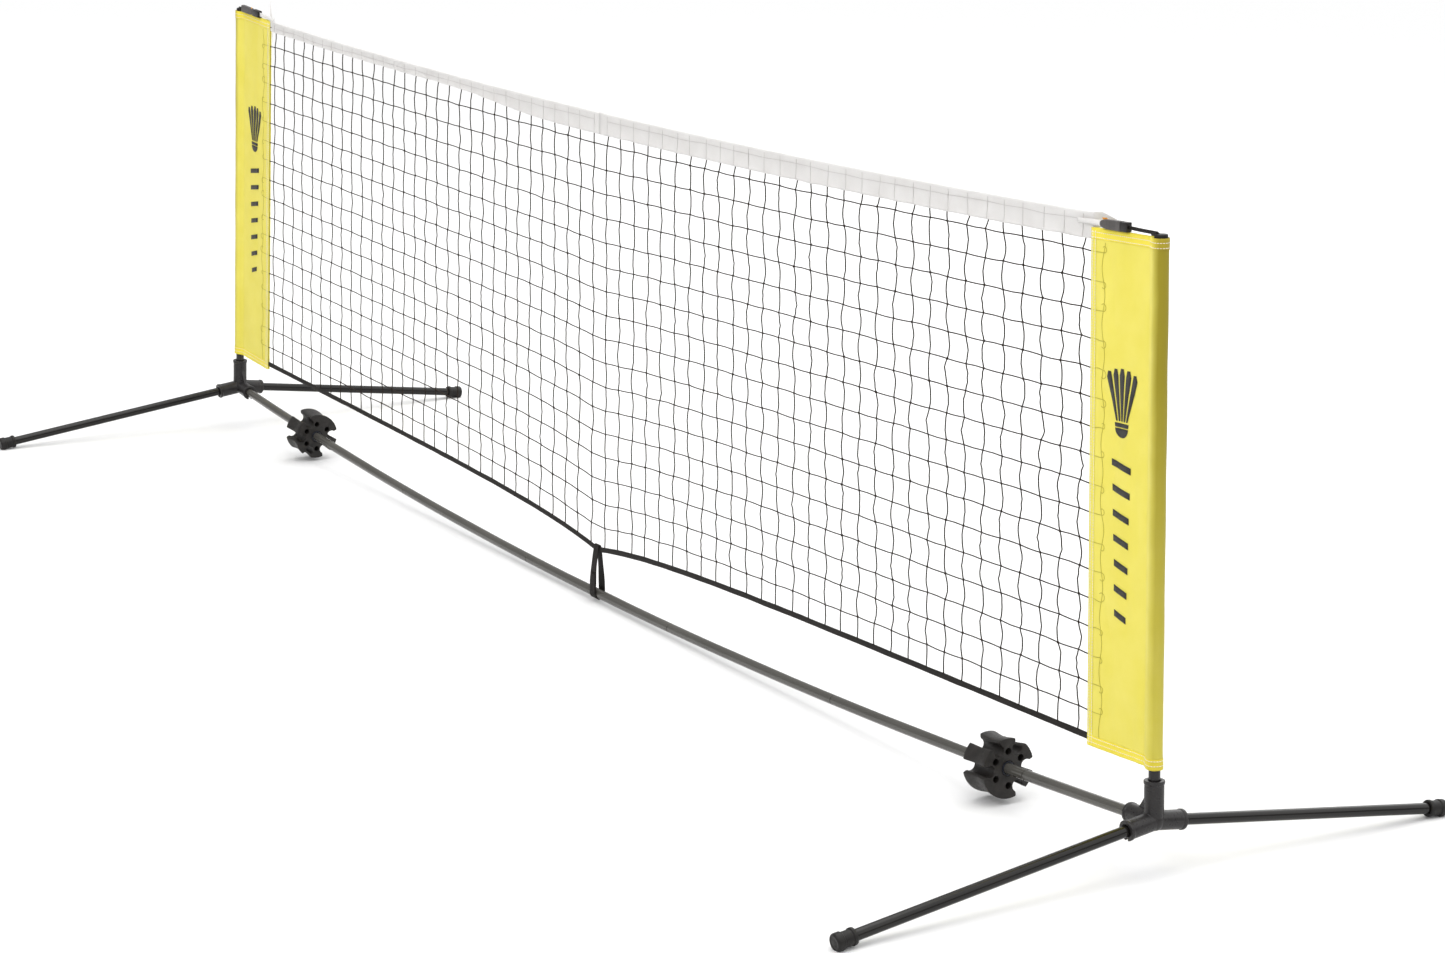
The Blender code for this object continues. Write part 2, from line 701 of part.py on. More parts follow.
def build_clip(side, line):
    name = side_name(side)
    level = SLEEVE_TOP + CLIP_CLEAR + CLIP_HEIGHT / 2
    if side > 0:
        start, length, shown = RIGHT_CLIP_START, RIGHT_CLIP_LENGTH, RIGHT_TONGUE_SHOWN
        mouth = start
        tongue = (start - shown, start - TOUCH)
        prong = (start - 2 * TOUCH, start + PRONG_LENGTH)
        strap = (LUG_REACH + TOUCH, start - shown - TOUCH)
        tail = (start + length + TOUCH, TAIL_END)
    else:
        start, length, shown = LEFT_CLIP_START, LEFT_CLIP_LENGTH, LEFT_TONGUE_SHOWN
        mouth = start + length
        tongue = (mouth + TOUCH, mouth + shown)
        prong = (mouth - PRONG_LENGTH, mouth + 2 * TOUCH)
        strap = (LUG_REACH + TOUCH, start - TOUCH)
        tail = (mouth + shown + TOUCH, TAIL_END)
    if side > 0:
        shell = clip_shell(side, start, start + length, level)
    else:
        shell = clip_shell(side, start, mouth, level)
        turn = Matrix.Rotation(pi, 3, "Z")
        middle = Vector((-side * (start + mouth) / 2, CLIP_Y, level))
        bmesh.ops.rotate(shell, verts=shell.verts[:], cent=middle, matrix=turn)
    body = place(shell, f"{name}_clip_body", "clip", line)
    inward = PRONG_LENGTH + PRONG_PLAY
    if side > 0:
        cavity_range = (mouth - PRONG_LENGTH, mouth + inward)
    else:
        cavity_range = (mouth - inward, mouth + PRONG_LENGTH)
    cavity = clip_block(
        side, *cavity_range, PRONG_HEIGHT + 2 * PRONG_PLAY, PRONG_WIDTH + 2 * PRONG_PLAY, level
    )
    combine(body, cutter(cavity, f"{name}_clip_cavity", line), "DIFFERENCE")
    tongue_block = clip_block(side, *tongue, TONGUE_HEIGHT, TONGUE_WIDTH, level)
    stem = place(tongue_block, f"{name}_clip_tongue", "cap", line)
    prong_block = clip_block(side, *prong, PRONG_HEIGHT, PRONG_WIDTH, level)
    combine(stem, cutter(prong_block, f"{name}_clip_prong", line), "UNION")
    strap_block = clip_block(side, *strap, STRAP_HEIGHT, STRAP_THICKNESS, level)
    place(strap_block, f"{name}_clip_strap", "webbing", line)
    tail_block = clip_block(side, *tail, TAIL_HEIGHT, TAIL_THICKNESS, level)
    place(tail_block, f"{name}_headline_tail", "webbing", line)


# ---------------------------------------------------------------- net


def net_columns(low, high):
    return [low + (high - low) * k / NET_STEPS for k in range(NET_STEPS + 1)]


def edge_at(curve, side):
    """X where a height curve meets the sleeve's leaning edge."""
    x = side * net_edge(curve(side * SPAN / 2))
    for _ in range(EDGE_PASSES):
        x = side * net_edge(curve(x))
    return x


def hem_top(x):
    return hem_centre(x) + HEM_HEIGHT / 2


def hem_bottom(x):
    return hem_centre(x) - HEM_HEIGHT / 2


def low_stations(curve):
    """X positions for a low edge: evenly spaced, with the centre strap's sides among them."""
    half = BOTTOM_STRAP_WIDTH / 2 + BOTTOM_STRAP_PLAY
    steps = NET_STEPS // 2
    end = edge_at(curve, 1)
    right = [half + (end - half) * (k / steps) ** HEM_CROWDING for k in range(steps + 1)]
    return [-x for x in reversed(right)], right


def build_net():
    def net_low(x):
        return hem_top(x) + TOUCH

    def net_high(x):
        return band_top(x) - band_height(x) + NET_INTO_BAND

    left, right = low_stations(net_low)
    strap_top = hem_top(0) + HEM_THICKNESS / 2 + BOTTOM_STRAP_THICKNESS + 2 * BOTTOM_STRAP_PLAY
    outline = [(x, net_low(x)) for x in left]
    outline += [(left[-1], strap_top), (right[0], strap_top)]
    outline += [(x, net_low(x)) for x in right]
    for x in reversed(net_columns(edge_at(net_high, -1), edge_at(net_high, 1))):
        outline.append((x, net_high(x)))
    half = NET_THICKNESS / 2
    place(prism(outline, -half, half), "net_panel", "net")

    left, right = low_stations(hem_bottom)
    outline = [(x, hem_bottom(x)) for x in left + right]
    left, right = low_stations(net_low)
    outline += [(x, hem_top(x)) for x in reversed(left + right)]
    half = HEM_THICKNESS / 2
    place(prism(outline, -half, half), "bottom_tape", "webbing")


def build_headband():
    """Tape folded over the headline, open along its lower edge."""
    build = bmesh.new()
    inner = BAND_GAP / 2
    outer = inner + BAND_WALL
    left = edge_at(band_top, -1)
    right = edge_at(band_top, 1)
    rows = []
    for x in net_columns(left, right):
        top = band_top(x)
        low = top - band_height(x)
        section = [(-outer, low), (-outer, top - BAND_WALL), (-inner, top), (inner, top)]
        section += [(outer, top - BAND_WALL), (outer, low), (inner, low)]
        section += [(inner, top - 2 * BAND_WALL), (-inner, top - 2 * BAND_WALL), (-inner, low)]
        rows.append([build.verts.new((x, y, z)) for y, z in section])
    for first, second in zip(rows, rows[1:]):
        bridge(build, first, second)
    build.faces.new(rows[0])
    build.faces.new(rows[-1])
    place(build, "headband_tape", "band")
    drop = 2 * BAND_WALL + TOUCH + HEADLINE_D / 2
    points = [Vector((x, 0, band_top(x) - drop)) for x in net_columns(left, right)]
    place(swept_tube(points, HEADLINE_D / 2, 0, CORD_SIDES), "headline_cord", "elastic")


def build_centre_strap():
    """Closed band round the bottom tape and the crossbar."""
    low_centre = bar_height(0)
    low_r = TUBE_R + BOTTOM_STRAP_PLAY
    high_centre = hem_top(0)
    high_r = HEM_THICKNESS / 2 + BOTTOM_STRAP_PLAY

    def loop(extra):
        big = low_r + extra
        small = high_r + extra
        lean = asin((big - small) / (high_centre - low_centre))
        points = []
        for k in range(STRAP_LOOP_STEPS + 1):
            angle = lean + (pi - 2 * lean) * k / STRAP_LOOP_STEPS
            points.append((small * cos(angle), high_centre + small * sin(angle)))
        for k in range(STRAP_LOOP_STEPS + 1):
            angle = pi - lean + (pi + 2 * lean) * k / STRAP_LOOP_STEPS
            points.append((big * cos(angle), low_centre + big * sin(angle)))
        return points

    build = bmesh.new()
    half = BOTTOM_STRAP_WIDTH / 2
    loops = []
    for extra in (0, BOTTOM_STRAP_THICKNESS):
        for x in (-half, half):
            loops.append([build.verts.new((x, y, z)) for y, z in loop(extra)])
    inner_left, inner_right, outer_left, outer_right = loops
    bridge(build, inner_left, inner_right)
    bridge(build, outer_left, outer_right)
    bridge(build, inner_left, outer_left)
    bridge(build, inner_right, outer_right)
    place(build, "centre_strap", "webbing")


# ---------------------------------------------------------------- the whole net


def main():
    clear_scene()
    build_crossbar()
    for side in (-1, 1):
        build_connector(side)
        build_post(side)
        build_hub(side)
        for way in (-1, 1):
            build_leg(side, way)
    build_net()
    build_headband()
    build_centre_strap()


main()
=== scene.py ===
import json
from math import asin, cos, exp, pi, radians, sin, sqrt

import bmesh
import bpy
import numpy as np
from mathutils import Matrix, Vector, noise


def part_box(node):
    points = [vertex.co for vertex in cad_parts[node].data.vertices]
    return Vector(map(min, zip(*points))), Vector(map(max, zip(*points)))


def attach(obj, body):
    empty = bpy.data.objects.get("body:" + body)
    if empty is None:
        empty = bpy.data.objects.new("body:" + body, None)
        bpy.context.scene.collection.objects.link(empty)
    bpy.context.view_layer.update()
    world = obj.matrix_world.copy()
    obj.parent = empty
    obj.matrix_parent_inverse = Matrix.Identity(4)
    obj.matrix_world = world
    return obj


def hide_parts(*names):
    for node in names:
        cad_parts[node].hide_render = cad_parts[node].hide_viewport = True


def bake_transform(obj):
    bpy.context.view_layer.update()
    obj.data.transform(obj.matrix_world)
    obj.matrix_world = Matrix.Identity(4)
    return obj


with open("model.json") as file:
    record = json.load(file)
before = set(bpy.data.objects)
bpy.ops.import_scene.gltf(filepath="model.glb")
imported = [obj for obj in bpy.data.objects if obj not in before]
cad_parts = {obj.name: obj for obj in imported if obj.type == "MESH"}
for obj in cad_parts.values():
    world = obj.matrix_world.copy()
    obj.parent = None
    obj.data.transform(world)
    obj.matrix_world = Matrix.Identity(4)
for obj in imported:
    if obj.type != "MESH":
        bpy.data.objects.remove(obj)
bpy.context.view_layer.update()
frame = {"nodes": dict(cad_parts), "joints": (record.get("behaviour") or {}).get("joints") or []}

# Portable badminton net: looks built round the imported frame, in metres, +Z up.
SIDES = ((1, "right"), (-1, "left"))
WAYS = ((-1, "front"), (1, "back"))
ACROSS = Vector((0, 1, 0))
# Thread spacing of each kind of cloth.
SLEEVE_THREAD = 0.00055
BAND_THREAD = 0.0007
WEBBING_THREAD = 0.0011
STITCH_THREAD = 0.0004

# ------------------------------------------------------------------ reading the frame


def spaced(first, last, count):
    return [first + (last - first) * k / (count - 1) for k in range(count)]


def points_of(node):
    return [v.co.copy() for v in frame["nodes"][node].data.vertices]


def joint_axis(name):
    found = next(j for j in frame["joints"] if j["name"] == name)
    return Vector(found["axis"]).normalized()


def clamped(value):
    return max(0.0, min(1.0, value))


def squared_off(value, power):
    """Sine or cosine raised to a power with its sign kept, for a box-like round."""
    return (abs(value) ** power) * (1 if value >= 0 else -1)


def ring_faces(rings, count):
    """Quads between rings of corners that follow each other."""
    faces = []
    for k in range(rings - 1):
        for j in range(count):
            after = (j + 1) % count
            faces.append((k * count + j, k * count + after, (k + 1) * count + after, (k + 1) * count + j))
    return faces


def end_centres(node, direction, depth=0.0015):
    """Middle of the first and last ring of a tube's corners along a direction."""
    spots = points_of(node)
    along = [p.dot(direction) for p in spots]
    low, high = min(along), max(along)
    first = [p for p, a in zip(spots, along) if a < low + depth]
    last = [p for p, a in zip(spots, along) if a > high - depth]
    return sum(first, Vector()) / len(first), sum(last, Vector()) / len(last)


def reach_of(node, origin, direction):
    along = [(p - origin).dot(direction) for p in points_of(node)]
    return min(along), max(along)


def crossing(p, d, q, e):
    """Point on the line p + t d nearest to the line q + s e."""
    between = p - q
    b = d.dot(e)
    t = (b * e.dot(between) - d.dot(between)) / (1 - b * b)
    return p + t * d


class PostFrame:
    """Directions of one leaning post: up along it, and towards the net."""

    def __init__(self, side, name):
        self.side, self.name = side, name
        self.up = joint_axis(f"{name}_post_lift")
        self.inward = -side * ACROSS.cross(self.up)
        foot, _ = end_centres(f"{name}_post_lower", self.up)
        leg = joint_axis(f"{name}_front_leg_pull")
        _, tip = end_centres(f"{name}_front_leg", leg)
        self.origin = crossing(foot, self.up, tip, leg)

    def at(self, inward, across, up):
        return self.origin + inward * self.inward + across * ACROSS + up * self.up


POSTS = {name: PostFrame(side, name) for side, name in SIDES}
TUBE_R = (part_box("crossbar_section_4")[1].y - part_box("crossbar_section_4")[0].y) / 2
TUBE_BORE = TUBE_R - 0.0012

# ------------------------------------------------------------------ materials


class Look:
    """One material's node tree, with short calls for its usual parts."""

    def __init__(self, name, colour, roughness, metallic=0.0):
        self.material = bpy.data.materials.new(name)
        self.material.use_nodes = True
        self.tree = self.material.node_tree
        self.shader = self.tree.nodes["Principled BSDF"]
        self.output = self.tree.nodes["Material Output"]
        self.set(self.shader, "Base Color", (*colour, 1))
        self.set(self.shader, "Roughness", roughness)
        self.set(self.shader, "Metallic", metallic)
        self.colour = None
        self.bump = None

    def set(self, node, socket, value):
        node.inputs[socket].default_value = value

    def node(self, kind, **settings):
        made = self.tree.nodes.new(kind)
        for key, value in settings.items():
            setattr(made, key, value)
        return made

    def link(self, source, target):
        self.tree.links.new(source, target)

    def place(self, scale, source="Object"):
        where = self.node("ShaderNodeTexCoord")
        mapping = self.node("ShaderNodeMapping")
        self.set(mapping, "Scale", scale)
        self.link(where.outputs[source], mapping.inputs["Vector"])
        return mapping.outputs["Vector"]

    def noise(self, size, scale=(1, 1, 1), detail=3.0, source="Object"):
        made = self.node("ShaderNodeTexNoise")
        self.set(made, "Scale", 1 / size)
        self.set(made, "Detail", detail)
        self.link(self.place(scale, source), made.inputs["Vector"])
        return made.outputs["Fac"]

    def bands(self, size, direction, source="Object"):
        """Rows of ridges a given distance apart."""
        made = self.node("ShaderNodeTexWave", wave_type="BANDS", bands_direction=direction)
        self.set(made, "Scale", pi / (10 * size))
        self.link(self.place((1, 1, 1), source), made.inputs["Vector"])
        return made.outputs["Fac"]

    def ramp(self, factor, stops):
        made = self.node("ShaderNodeValToRGB")
        ramp = made.color_ramp
        ramp.elements[0].position, ramp.elements[0].color = stops[0][0], (*stops[0][1], 1)
        ramp.elements[1].position, ramp.elements[1].color = stops[-1][0], (*stops[-1][1], 1)
        for place, colour in stops[1:-1]:
            ramp.elements.new(place).color = (*colour, 1)
        self.link(factor, made.inputs["Fac"])
        return made.outputs["Color"]

    def range(self, factor, low, high, start=0.0, end=1.0):
        made = self.node("ShaderNodeMapRange")
        for socket, value in (("From Min", start), ("From Max", end), ("To Min", low), ("To Max", high)):
            self.set(made, socket, value)
        self.link(factor, made.inputs["Value"])
        return made.outputs["Result"]

    def math(self, operation, first, second):
        made = self.node("ShaderNodeMath", operation=operation)
        for k, value in enumerate((first, second)):
            if isinstance(value, (int, float)):
                made.inputs[k].default_value = value
            else:
                self.link(value, made.inputs[k])
        return made.outputs["Value"]

    def mix(self, factor, first, second):
        made = self.node("ShaderNodeMix", data_type="RGBA")
        for k, value in ((0, factor), (6, first), (7, second)):
            if isinstance(value, (int, float)):
                made.inputs[k].default_value = value
            elif isinstance(value, tuple):
                made.inputs[k].default_value = (*value, 1)
            else:
                self.link(value, made.inputs[k])
        return made.outputs[2]

    def paint(self, colour):
        self.colour = colour
        self.link(colour, self.shader.inputs["Base Color"])

    def rough(self, factor):
        self.link(factor, self.shader.inputs["Roughness"])

    def relief(self, height, depth, strength=1.0):
        made = self.node("ShaderNodeBump")
        self.set(made, "Distance", depth)
        self.set(made, "Strength", strength)
        self.link(height, made.inputs["Height"])
        if self.bump is not None:
            self.link(self.bump, made.inputs["Normal"])
        self.bump = made.outputs["Normal"]
        self.link(self.bump, self.shader.inputs["Normal"])

    def let_light_through(self, share, tint):
        """Thin cloth: part of the light behind it comes through."""
        glow = self.node("ShaderNodeBsdfTranslucent")
        self.set(glow, "Color", (*tint, 1))
        if self.colour is not None:
            self.link(self.colour, glow.inputs["Color"])
        if self.bump is not None:
            self.link(self.bump, glow.inputs["Normal"])
        both = self.node("ShaderNodeMixShader")
        self.set(both, "Fac", share)
        self.link(self.shader.outputs[0], both.inputs[1])
        self.link(glow.outputs[0], both.inputs[2])
        self.link(both.outputs[0], self.output.inputs["Surface"])


def coated_tube(name, dark, light, roughness, metallic, scuff, shine=0.5):
    """Glossy baked coat on drawn tube: slow colour drift, a few fine scuffs, orange peel."""
    look = Look(name, light, roughness, metallic)
    look.set(look.shader, "Specular IOR Level", shine)
    drift = look.noise(0.16, detail=2)
    base = look.ramp(drift, [(0.3, dark), (0.7, light)])
    marks = look.noise(0.0035, (1, 1, 1), detail=6)
    worn = look.range(marks, 0, 1, 0.71, 0.78)
    look.paint(look.mix(look.math("MULTIPLY", worn, 0.35), base, scuff))
    fine = look.noise(0.02, detail=4)
    look.rough(look.range(fine, roughness - 0.03, roughness + 0.06, 0.3, 0.7))
    look.relief(look.noise(0.0022, detail=1), 0.00001)
    return look.material


def moulded(name, dark, light, roughness, grain=0.0006, depth=0.00006):
    """Moulded plastic: fine spark-eroded grain, slight colour mottling."""
    look = Look(name, light, roughness)
    look.set(look.shader, "Specular IOR Level", 0.28)
    look.paint(look.ramp(look.noise(0.012, detail=4), [(0.3, dark), (0.72, light)]))
    look.rough(look.range(look.noise(0.004, detail=4), roughness - 0.06, roughness + 0.10, 0.3, 0.7))
    look.relief(look.noise(grain, detail=3), depth)
    return look.material


def woven(name, dark, light, thread, roughness, depth, through=None, sheen=0.0, mottle=0.03):
    """Plain weave on the piece's own UV map, in metres: over-and-under threads, uneven dye."""
    look = Look(name, light, roughness)
    look.set(look.shader, "Sheen Weight", sheen)
    look.set(look.shader, "Specular IOR Level", 0.2)
    warp = look.bands(thread, "X", "UV")
    weft = look.bands(thread, "Y", "UV")
    weave = look.math("MULTIPLY", warp, weft)
    uneven = look.noise(mottle, detail=4, source="UV")
    shade = look.math("ADD", look.math("MULTIPLY", weave, 0.35), look.math("MULTIPLY", uneven, 0.75))
    look.paint(look.ramp(shade, [(0.28, dark), (0.68, light)]))
    look.relief(weave, depth)
    if through:
        look.let_light_through(through, light)
    return look.material


LOOKS = {
    "bar": coated_tube(
        "grey baked coat", (0.066, 0.063, 0.056), (0.088, 0.084, 0.075), 0.13, 0.2, (0.15, 0.14, 0.13)
    ),
    "leg": coated_tube(
        "black baked coat", (0.004, 0.0035, 0.003), (0.009, 0.008, 0.007), 0.15, 0.0,
        (0.04, 0.037, 0.035), 0.30
    ),
    "post": coated_tube(
        "dark grey baked coat", (0.012, 0.011, 0.011), (0.020, 0.018, 0.018), 0.20, 0.05,
        (0.05, 0.047, 0.043), 0.35
    ),
    "connector": moulded(
        "moulded grey nylon", (0.016, 0.0145, 0.015), (0.024, 0.022, 0.022), 0.30, 0.0006, 0.00002
    ),
    "hub": moulded(
        "moulded black hub plastic", (0.011, 0.010, 0.009), (0.022, 0.019, 0.017), 0.48, 0.0008, 0.00008
    ),
    "bush": moulded("blue-black bush plastic", (0.014, 0.016, 0.024), (0.026, 0.030, 0.044), 0.32),
    "cap": moulded(
        "moulded black rubber", (0.005, 0.004, 0.004), (0.010, 0.009, 0.008), 0.46, 0.0007, 0.00008
    ),
    "clip": moulded("moulded grey clip plastic", (0.060, 0.055, 0.054), (0.090, 0.083, 0.080), 0.42),
    "tongue": moulded("moulded black clip plastic", (0.010, 0.009, 0.009), (0.018, 0.016, 0.016), 0.36),
    # Darker yellow: painted shade of a strand lying under the thin sleeve cloth.
    "under": woven(
        "yellow cloth over a strand", (0.56, 0.50, 0.07), (0.64, 0.57, 0.09), SLEEVE_THREAD, 0.62,
        0.00004, 0.30
    ),
    "print": woven(
        "dark printed ink", (0.030, 0.030, 0.028), (0.045, 0.043, 0.040), SLEEVE_THREAD, 0.45, 0.00004
    ),
    "band": woven(
        "white headband tape", (0.82, 0.805, 0.79), (0.90, 0.89, 0.88), BAND_THREAD, 0.50, 0.00003,
        0.35, 0.1, 0.05
    ),
    # Greyer white: painted shadow of a strand seen through the headband tape.
    "shadow": woven(
        "white tape over a strand", (0.66, 0.64, 0.625), (0.74, 0.72, 0.71), BAND_THREAD, 0.55,
        0.00004, 0.3
    ),
    "webbing": woven(
        "black hem webbing", (0.006, 0.005, 0.004), (0.016, 0.013, 0.011), WEBBING_THREAD, 0.62, 0.00018
    ),
    "thread": woven(
        "white stitching thread", (0.78, 0.74, 0.66), (0.92, 0.89, 0.84), STITCH_THREAD, 0.55, 0.00004
    ),
    "orange": woven(
        "orange tie thread", (0.80, 0.32, 0.03), (0.95, 0.46, 0.06), STITCH_THREAD, 0.55, 0.00004
    ),
}


def sleeve_look(name, dark, light, shade, girth, roughness, through):
    """Thin yellow cloth, with a painted shade where it wraps the dark post, standing for the light from
    behind that the post blocks.
    """
    look = Look(name, light, roughness)
    look.set(look.shader, "Sheen Weight", 0.12)
    weave = look.math("MULTIPLY", look.bands(0.00055, "X", "UV"), look.bands(0.00055, "Y", "UV"))
    uneven = look.noise(0.05, detail=3, source="UV")
    tone = look.math("ADD", look.math("MULTIPLY", weave, 0.25), look.math("MULTIPLY", uneven, 0.75))
    plain = look.ramp(tone, [(0.28, dark), (0.68, light)])
    where = look.node("ShaderNodeTexCoord")
    split = look.node("ShaderNodeSeparateXYZ")
    look.link(where.outputs["UV"], split.inputs["Vector"])
    away = look.math("ABSOLUTE", look.math("SUBTRACT", split.outputs["X"], girth / 2), 0.0)
    wander = look.math("MULTIPLY", look.noise(0.08, (1, 1, 1), detail=2, source="UV"), 0.006)
    edge = look.math("ADD", away, wander)
    # Painted shade where the cloth wraps the post: full round the middle of the wrap, fading out along the
    # cloth towards the net.
    post_shade_mask = look.range(edge, 1.0, 0.0, 0.0120, 0.0260)
    # The painted shade is weaker towards the bottom of the sleeve.
    shade_by_height = look.range(split.outputs["Y"], 0.45, 1.0, 0.10, 0.60)
    look.paint(look.mix(look.math("MULTIPLY", post_shade_mask, shade_by_height), plain, shade))
    look.relief(weave, 0.00004)
    look.let_light_through(through, light)
    return look.material


def twine_look():
    """Twisted dark brown twine: fine lay lines and uneven dye."""
    look = Look("dark brown twine", (0.035, 0.025, 0.020), 0.75)
    look.set(look.shader, "Specular IOR Level", 0.2)
    look.paint(
        look.ramp(look.noise(0.004, detail=3),
        [(0.3, (0.006, 0.003, 0.002)), (0.7, (0.026, 0.016, 0.010))])
    )
    look.relief(look.bands(0.0011, "DIAGONAL"), 0.00015)
    return look.material


LOOKS["twine"] = twine_look()
# Length of a sleeve's closed loop, round the post and out to the net on both faces.
SLEEVE_GIRTH = 0.3218
# The third colour of each sleeve look is its painted shade where the cloth wraps the post.
LOOKS["cloth"] = sleeve_look(
    "yellow sleeve cloth", (0.89, 0.80, 0.105), (0.945, 0.86, 0.170), (0.36, 0.29, 0.004),
    SLEEVE_GIRTH, 0.62, 0.25
)
LOOKS["hem"] = sleeve_look(
    "yellow hem cloth", (0.88, 0.73, 0.040), (0.94, 0.81, 0.065), (0.40, 0.31, 0.006),
    SLEEVE_GIRTH, 0.60, 0.12
)

# ------------------------------------------------------------------ mesh making


def finish_mesh(name, mesh, material, smooth=38):
    """Links a finished mesh as a piece at the origin."""
    if material is not None:
        mesh.materials.clear()
        mesh.materials.append(LOOKS[material])
    if smooth:
        mesh.shade_smooth()
        mesh.set_sharp_from_angle(angle=radians(smooth))
    piece = bpy.data.objects.new(name, mesh)
    bpy.context.scene.collection.objects.link(piece)
    return piece


def piece_from(name, verts, faces, material, smooth=38, uvs=None):
    mesh = bpy.data.meshes.new(name)
    mesh.from_pydata([tuple(v) for v in verts], [], faces)
    if uvs is not None:
        layer = mesh.uv_layers.new(name="UVMap")
        for loop in mesh.loops:
            layer.data[loop.index].uv = uvs[loop.vertex_index]
    outward(mesh)
    return finish_mesh(name, mesh, material, smooth)


def outward(mesh):
    build = bmesh.new()
    build.from_mesh(mesh)
    bmesh.ops.recalc_face_normals(build, faces=build.faces)
    build.to_mesh(mesh)
    build.free()


def apply_modifiers(piece):
    """Turns the evaluated piece into its own plain mesh."""
    graph = bpy.context.evaluated_depsgraph_get()
    mesh = bpy.data.meshes.new_from_object(piece.evaluated_get(graph))
    piece.modifiers.clear()
    old = piece.data
    piece.data = mesh
    bpy.data.meshes.remove(old)
    return piece


def frames_along(path):
    """Side and up vectors at each point of a path, carried along it without twisting."""
    made = []
    side = None
    for k in range(len(path)):
        ahead = path[min(k + 1, len(path) - 1)] - path[max(k - 1, 0)]
        along = ahead.normalized()
        if side is None:
            side = ACROSS if abs(along.y) < 0.9 else Vector((1, 0, 0))
        side = (side - side.dot(along) * along).normalized()
        made.append((along, side, along.cross(side)))
    return made


def circle(radius, sides):
    return [(radius * cos(2 * pi * k / sides), radius * sin(2 * pi * k / sides)) for k in range(sides)]


def tube(name, path, outer, inner, material, sides=32, edge=0.0004):
    """Hollow tube along a path, with slightly broken edges at both ends."""
    along = (path[1] - path[0]).normalized()
    back = (path[-1] - path[-2]).normalized()
    line = [path[0], path[0], path[0] + edge * along] + path[1:-1] + [
        path[-1] - edge * back, path[-1], path[-1]
    ]
    radii = [inner, outer - edge] + [outer] * (len(line) - 4) + [outer - edge, inner]
    frames = frames_along(path)
    frames = [frames[0]] * 3 + frames[1:-1] + [frames[-1]] * 3
    verts, faces = [], []
    for point, (_, side, up), radius in zip(line, frames, radii):
        verts += [point + a * side + b * up for a, b in circle(radius, sides)]
    rows = len(line)
    for k in range(rows):
        after_row = (k + 1) % rows
        for j in range(sides):
            after = (j + 1) % sides
            faces.append(
                (k * sides + j, k * sides + after, after_row * sides + after, after_row * sides + j)
            )
    return piece_from(name, verts, faces, material)


def turned(name, origin, axis, profile, material, sides=40, smooth=38):
    """Turns a closed (radius, distance) outline about an axis; radius 0 lies on it."""
    side = ACROSS.cross(axis)
    if side.length < 0.1:
        side = Vector((1, 0, 0)).cross(axis)
    side.normalize()
    up = axis.cross(side)
    verts, faces, rows = [], [], []
    for radius, distance in profile:
        start = len(verts)
        if radius == 0:
            verts.append(origin + distance * axis)
            rows.append([start])
        else:
            verts += [origin + distance * axis + a * side + b * up for a, b in circle(radius, sides)]
            rows.append(list(range(start, start + sides)))
    for first, second in zip(rows, rows[1:] + rows[:1]):
        if len(first) == 1 and len(second) == 1:
            continue
        for j in range(sides):
            after = (j + 1) % sides
            a = first[j % len(first)], first[after % len(first)]
            b = second[after % len(second)], second[j % len(second)]
            corners = [a[0], a[1], b[0], b[1]]
            unique = [c for n, c in enumerate(corners) if c not in corners[:n]]
            faces.append(tuple(unique))
    return piece_from(name, verts, faces, material, smooth)


def grid_sheet(name, rows, material, thickness, uvs, smooth=60):
    """Cloth from rows of points, given its thickness by Solidify."""
    columns = len(rows[0])
    verts = [p for row in rows for p in row]
    faces = []
    for k in range(len(rows) - 1):
        for j in range(columns - 1):
            faces.append(
                (k * columns + j, k * columns + j + 1, (k + 1) * columns + j + 1, (k + 1) * columns + j)
            )
    flat = [uv for row in uvs for uv in row]
    mesh = bpy.data.meshes.new(name)
    mesh.from_pydata([tuple(v) for v in verts], [], faces)
    layer = mesh.uv_layers.new(name="UVMap")
    for loop in mesh.loops:
        layer.data[loop.index].uv = flat[loop.vertex_index]
    piece = finish_mesh(name, mesh, material, smooth)
    if thickness:
        step = piece.modifiers.new("cloth thickness", "SOLIDIFY")
        step.thickness = thickness
        step.offset = 0
        step.use_even_offset = True
        apply_modifiers(piece)
    return piece


# ------------------------------------------------------------------ node trees for what repeats


def node_group(name, inputs):
    group = bpy.data.node_groups.new(name, "GeometryNodeTree")
    group.interface.new_socket("Geometry", in_out="INPUT", socket_type="NodeSocketGeometry")
    for label, value in inputs.items():
        socket = group.interface.new_socket(label, in_out="INPUT", socket_type="NodeSocketFloat")
        socket.default_value = value
    group.interface.new_socket("Material", in_out="INPUT", socket_type="NodeSocketMaterial")
    group.interface.new_socket("Geometry", in_out="OUTPUT", socket_type="NodeSocketGeometry")
    return group, group.nodes.new("NodeGroupInput"), group.nodes.new("NodeGroupOutput")


